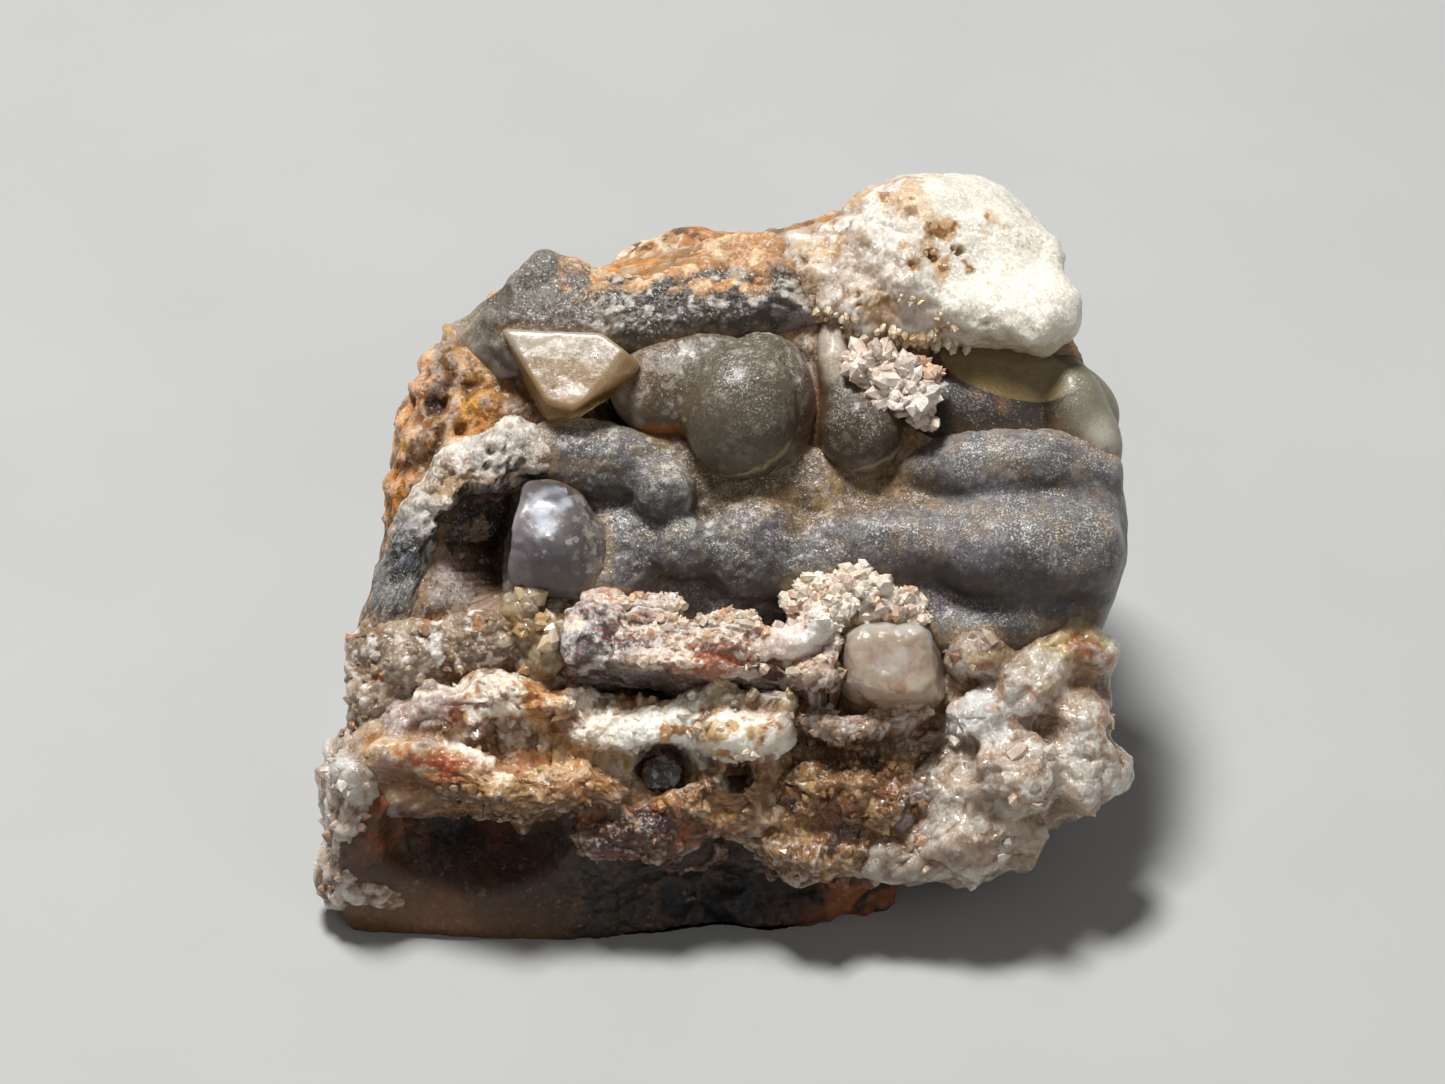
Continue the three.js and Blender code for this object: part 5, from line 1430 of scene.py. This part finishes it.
SEAM_SKIN = grown("seam", CHALCEDONY, SEAM, seam_lift, seam_tint, heart=(-6.4, 2.0, -3.6),
                  core=(7.4, 2.2, 0.8), count=280, crowd=0.8)
SEAM_FRONT = smooth(SEAM_SKIN[0][:, 2], -2.6, -1.6) * (1 - 0.8 * smooth(-SEAM_SKIN[0][:, 0], 12.5, 14))
crystals("seam_crystals", SUGAR, SEAM_SKIN, SEAM_FRONT, seam_tint, count=170, length=0.55,
         width=0.42, lean=1.0, seed=9, sink=0.5)
NODULE = ball((-2.9, 1.7, -1.2), (1.0, 0.85, 0.9))


def nodule_lift(points, out):
    """Small broken faces."""
    return crystalline(points, (0.5,), 237, 0.5)


def nodule_tint(points, out):
    """Dark grey with paler specks."""
    return painted(tone(70, 68, 68), (tone(140, 140, 146), smooth(fractal(points, 0.4, 3, 238), 0.1, 0.4)))


grown("pocket_nodule", GREY_AGATE, NODULE, nodule_lift, nodule_tint, heart=(-2.9, 1.7, -1.4),
      core=(0.2, 0.2, 0.2), count=60)

# The foot
# The left corner of the foot is a lump of grainy quartz that grew down the edge of the block. It is pale
# and glassy where it broke, and rusty where it meets the hollow beside it.
FOOT = zone([ball((-18.0, -13.2, 2.7), (1.7, 1.9, 1.9)), ball((-17.8, -11.2, 4.8), (1.6, 3.4, 4.6)),
             ball((-16.4, -13.7, 1.9), (1.9, 1.5, 1.6)),
             roll([(-18.1, -13.2, 2.6), (-18.0, -13.6, 6.0), (-17.4, -13.2, 8.8)], (1.2, 1.0, 1.3))],
            fillet=0.6, rough=0.35, grain=1.6)


def foot_lift(points, out):
    """Grains of three sizes."""
    return crystalline(points, (1.4, 0.7, 0.35), 241, 0.5)


def foot_tint(points, out):
    """Pale grainy quartz with brown gaps and rust low on the right."""
    inner = smooth(points[:, 0], -17.2, -15.8)
    return painted(
        tone(214, 192, 170),
        (tone(244, 234, 224), smooth(fractal(points, 0.8, 4, 244), 0.0, 0.3) * 0.8),
        (tone(128, 84, 60), smooth(fractal(points, 1.0, 3, 245), 0.15, 0.45) * 0.8),
        (tone(156, 96, 46), inner * smooth(fractal(points, 1.2, 3, 243), -0.2, 0.3)))


FOOT_SKIN = grown("foot", FROSTED, FOOT, foot_lift, foot_tint, heart=(-17.0, -11.0, 4.4),
                  core=(0.6, 1.0, 2.2), count=150, place=LEVEL, crowd=0.0)
FOOT_CORNER = smooth(-FOOT_SKIN[0][:, 0], 15.5, 17) * smooth(FOOT_SKIN[0][:, 2], 0.6, 1.2)
crystals("foot_crystals", SUGAR, FOOT_SKIN, FOOT_CORNER, foot_tint, count=90, length=0.6,
         width=0.5, lean=0.9, place=LEVEL, seed=10, sink=0.6)

# The undercut
# Below the lintel the front of the block is hollowed out. On the left it is smooth brown translucent stone,
# burnt orange in its upper corner with painted black shade there, and painted darker high up as shade
# under the lintel; the middle is rough and painted black as shadow, and it is rusty towards the right.
TO_FRONT = (np.array([[1, 0, 0], [0, 0, 1], [0, -1, 0]]), np.array([0, -14.0, 4.0]))
SWELLINGS = zone([ball((-13.0, -12.3, 0.6), (5.4, 2.4, 2.8)), ball((-8.0, -12.2, 0.8), (4.8, 1.9, 2.8)),
                  ball((2.4, -12.0, 0.4), (6.4, 1.6, 1.6))], fillet=0.8, rough=0.3, grain=1.8)
WINDOW = slab((-4.8, -0.2, 2.5), (13.4, 4.4, 9.0), (0, 0, 0), 1.6)
PROUD = 0.35
SWELLING_FILLET = 0.8


def undercut(points):
    """The block's own face with the swellings low on it, seen through a window, a little proud of both."""
    axes, origin = TO_FRONT
    world = points @ axes + origin
    face = joined(block_distance(world), SWELLINGS(world), SWELLING_FILLET)
    return np.maximum(face - PROUD, WINDOW(points))


def painted_shadow_middle(points):
    """The middle part, rough and painted black as shadow: how far a point lies in it, from 0 to 1."""
    across = points[:, 0] + 0.8 * fractal(points, 2.0, 3, 247)
    return smooth(across, -8.6, -6.6) * (1 - smooth(across - 1.2 * points[:, 1], 6.2, 8.0))


def undercut_lift(points, out):
    """Smooth on the left, chipped in the middle and on the right."""
    rough = smooth(points[:, 0], -8.5, -6.5)
    rough = np.maximum(rough, 0.8 * near(points, (-15.2, 2.4, -1.5), (2.2, 2.4, 4.0)))
    return rough * crystalline(points, (1.8, 0.8), 246, 0.4) + 0.1 * fractal(points, 1.6, 4, 242)


def undercut_tint(points, out):
    """Brown on the left with an orange corner, painted black shade in that corner and darker high up as
    painted shade under the lintel, painted black shadow in the middle, rusty on the right.
    """
    corner = near(points, (-14.6, 2.6, -1.5), (2.6, 2.2, 4.0))
    dark = near(points, (-13.0, 1.8, -2.5), (2.2, 2.4, 3.0)) * smooth(fractal(points, 1.2, 3, 81), -0.5, 0.0)
    middle = painted_shadow_middle(points)
    return painted(
        tone(60, 34, 14),
        (tone(104, 64, 28), smooth(fractal(points, 2.2, 3, 249), 0.0, 0.4) * 0.6),
        (tone(120, 84, 50), smooth(-points[:, 1] - 0.3 * points[:, 0], 4.0, 7.5) * 0.6),
        # Darker high up: painted shade under the lintel.
        (tone(34, 20, 10), smooth(points[:, 1] + 0.5 * points[:, 0], -5.0, -2.6) * 0.8),
        (tone(136, 66, 26), corner * smooth(fractal(points, 0.9, 4, 248), -0.2, 0.2)),
        # The black in the upper corner is painted shade.
        (tone(20, 12, 8), dark * 0.95),
        (tone(134, 78, 36), smooth(points[:, 0], 3.0, 6.0)
         * smooth(fractal(points, 1.1, 4, 250), -0.2, 0.2)),
        # The black middle is a painted shadow in the undercut.
        (tone(8, 6, 5), middle * 0.98),
        (tone(44, 28, 18), middle * smooth(fractal(points, 1.3, 4, 256), 0.25, 0.5) * 0.7))


BROWN_STONE = finish("brown_stone", 0.56, sparkle=0.2, glints=0.03, white=0.1, dusty=0.2, relief=0.3,
                     depth=0.25, radius=(1.4, 0.9, 0.5), variety=0.2, grit=0.02, peaks=0.0)
grown("undercut", BROWN_STONE, undercut, undercut_lift, undercut_tint, heart=(-4.8, -0.2, -5.2),
      core=(12.6, 3.6, 0.6), count=240, place=TO_FRONT, crowd=0.7)

# The rusty edge
# Along the front of the foot runs a broken edge of iron crust. Its plates are orange and red-brown, over
# dark purple, and rise towards the left.
RUSTY_EDGE = zone([roll([(-6.4, -12.9, 6.2), (-4.4, -13.3, 5.6), (-1.4, -13.6, 4.6), (2.6, -13.4, 4.0),
                         (5.0, -13.0, 3.2), (7.4, -12.8, 2.8)], (0.7, 1.0, 1.1, 1.1, 1.2, 1.1))],
                  fillet=0.7, rough=0.55, grain=1.3)


def edge_lift(points, out):
    """Plates and chips."""
    return crystalline(points, (1.3, 0.6), 251, 0.6) + 0.12 * fractal(points, 0.8, 4, 252)


def edge_tint(points, out):
    """Orange and red-brown above and on the right, dark purple, black painted shade on what looks down,
    most on the left, white glints.
    """
    low = smooth(-out[:, 2] - 0.1 * points[:, 0], -0.1, 0.4)
    return painted(
        tone(96, 46, 20),
        (tone(168, 90, 32), smooth(fractal(points, 1.1, 4, 253), 0.0, 0.3) * 0.95),
        (tone(72, 40, 34), smooth(fractal(points, 1.4, 3, 254), 0.05, 0.35) * 0.85),
        # What looks down is painted black: painted shade under the edge.
        (tone(14, 10, 8), low * 0.95),
        (tone(190, 168, 150), smooth(fractal(points, 0.5, 4, 255), 0.4, 0.6) * (1 - 0.7 * low) * 0.6))


IRON_CRUST = finish("iron_crust", 0.6, sparkle=0.18, glints=0.08, white=0.4, dusty=0.4, variety=0.35,
                    peaks=0.08, grit=0.05)
grown("rusty_edge", IRON_CRUST, RUSTY_EDGE, edge_lift, edge_tint, heart=(0.6, -12.6, 4.4),
      core=(6.0, 0.4, 0.4), count=170, place=LEVEL, crowd=0.0)

# The back
# Chalcedony grew in a cluster of low bubbles on the back of the block too. They are of the same grey agate
# as the rolls, run into each other in the middle, and get smaller towards the rim.
BUBBLES = 13
BUBBLE_GAP = 1.35
CLUSTER_X, CLUSTER_Y, CLUSTER_Z = -2.6, 13.0, 11.6
GOLDEN = math.pi * (3 - math.sqrt(5))


def bubble(number):
    """One of the bubbles: they are set out as seeds are in a sunflower, further across than up, and get
    smaller on the way out, some more than others."""
    away = BUBBLE_GAP * math.sqrt(number)
    turn = number * GOLDEN
    size = 2.5 - 0.1 * number + 0.4 * math.sin(2.7 * number)
    middle = (CLUSTER_X + 1.35 * away * math.cos(turn), CLUSTER_Y, CLUSTER_Z + 0.85 * away * math.sin(turn))
    return ball(middle, (size, 1.3 + 0.2 * size, size * 0.9))


BACK_CRUST = zone([bubble(number) for number in range(BUBBLES)], fillet=0.5, rough=0.3, grain=1.9)
grown("back_bubbles", ROLL_AGATE, BACK_CRUST, roll_lift, roll_tint, heart=(-2.8, 11.0, 11.6),
      core=(6.0, 0.6, 3.6), count=190, place=LEVEL, crowd=0.0)

# Where the pieces meet
# Dust gathers in the creases between the forms, and its honey-brown colour there also stands in for
# painted shade. Each point's distance to the skins of the other pieces is worked out, and what lies close
# to another skin is marked as a crease.
CREASE_FULL = 0.05
CREASE_END = 0.5
FAR = 9.0
for made, world, distance, place in PIECES:
    nearest = np.full(len(world), FAR)
    for _, _, other, other_place in PIECES:
        if other is None or other is distance:
            continue
        nearest = np.minimum(nearest, np.abs(other(to_local(world, other_place))))
    crease = 1 - smooth(nearest, CREASE_FULL, CREASE_END)
    keep(made.data, "crease", "FLOAT", "value", crease)

# The floor, the light and the camera
# The stone rests on a plain pale floor. Soft studio light falls on it from above and a little behind, with
# a weak light from the front right, and the camera looks down on its slope.
CAMERA_AWAY = 0.260
CAMERA_RISE = math.radians(40)
CAMERA_AIM = np.array([0, 0, 0.0122])
SENSOR = 36.0
SHOWN_WIDTH = 0.0705
ROOM_LIGHT = 0.12
LIT_PLACE = (0, 0, 0.01)
FLOOR_HALF = 0.6
FLOOR_DARK = (0.38, 0.38, 0.37, 1)
FLOOR_PALE = (0.43, 0.43, 0.42, 1)
FLOOR_ROUGH = 0.7


def floor():
    """A wide flat sheet in a plain pale finish with a faint mottle, under the stone."""
    half = FLOOR_HALF
    corners = [(-half, -half, 0), (half, -half, 0), (half, half, 0), (-half, half, 0)]
    mesh = bpy.data.meshes.new("floor")
    mesh.from_pydata(corners, [], [(0, 1, 2, 3)])
    material = bpy.data.materials.new("pale_floor")
    material.use_nodes = True
    tree = material.node_tree
    place = node(tree, "ShaderNodeTexCoord").outputs["Object"]
    cloud = node(tree, "ShaderNodeTexNoise", {"Vector": place, "Scale": 60.0, "Detail": 6.0})
    shader = tree.nodes["Principled BSDF"]
    tree.links.new(mix(tree, cloud.outputs[0], FLOOR_DARK, FLOOR_PALE), shader.inputs["Base Color"])
    shader.inputs["Roughness"].default_value = FLOOR_ROUGH
    mesh.materials.append(material)
    made = bpy.data.objects.new("floor", mesh)
    bpy.context.scene.collection.objects.link(made)


def aimed(made, at, target):
    """An object placed at a point with its -Z turned towards a target."""
    made.location = at
    made.rotation_euler = (Vector(target) - Vector(at)).to_track_quat("-Z", "Y").to_euler()
    bpy.context.scene.collection.objects.link(made)


def lamp(name, at, size, power):
    """A square soft light aimed at the stone."""
    light = bpy.data.lights.new(name, "AREA")
    light.size = size
    light.energy = power
    aimed(bpy.data.objects.new(name, light), at, LIT_PLACE)


floor()
lamp("key", at=(-0.08, 0.08, 0.46), size=0.10, power=3.1)
lamp("fill", at=(0.30, -0.40, 0.34), size=0.4, power=0.45)
studio = bpy.data.worlds.new("studio")
studio.use_nodes = True
background = studio.node_tree.nodes["Background"]
background.inputs["Color"].default_value = (1, 1, 1, 1)
background.inputs["Strength"].default_value = ROOM_LIGHT
bpy.context.scene.world = studio
optics = bpy.data.cameras.new("camera")
optics.sensor_width = SENSOR
optics.lens = SENSOR * CAMERA_AWAY / SHOWN_WIDTH
camera = bpy.data.objects.new("camera", optics)
BACKWARD = np.array([0, -math.cos(CAMERA_RISE), math.sin(CAMERA_RISE)])
aimed(camera, CAMERA_AIM + CAMERA_AWAY * BACKWARD, CAMERA_AIM)
bpy.context.scene.camera = camera
bpy.context.scene.view_settings.view_transform = "Standard"
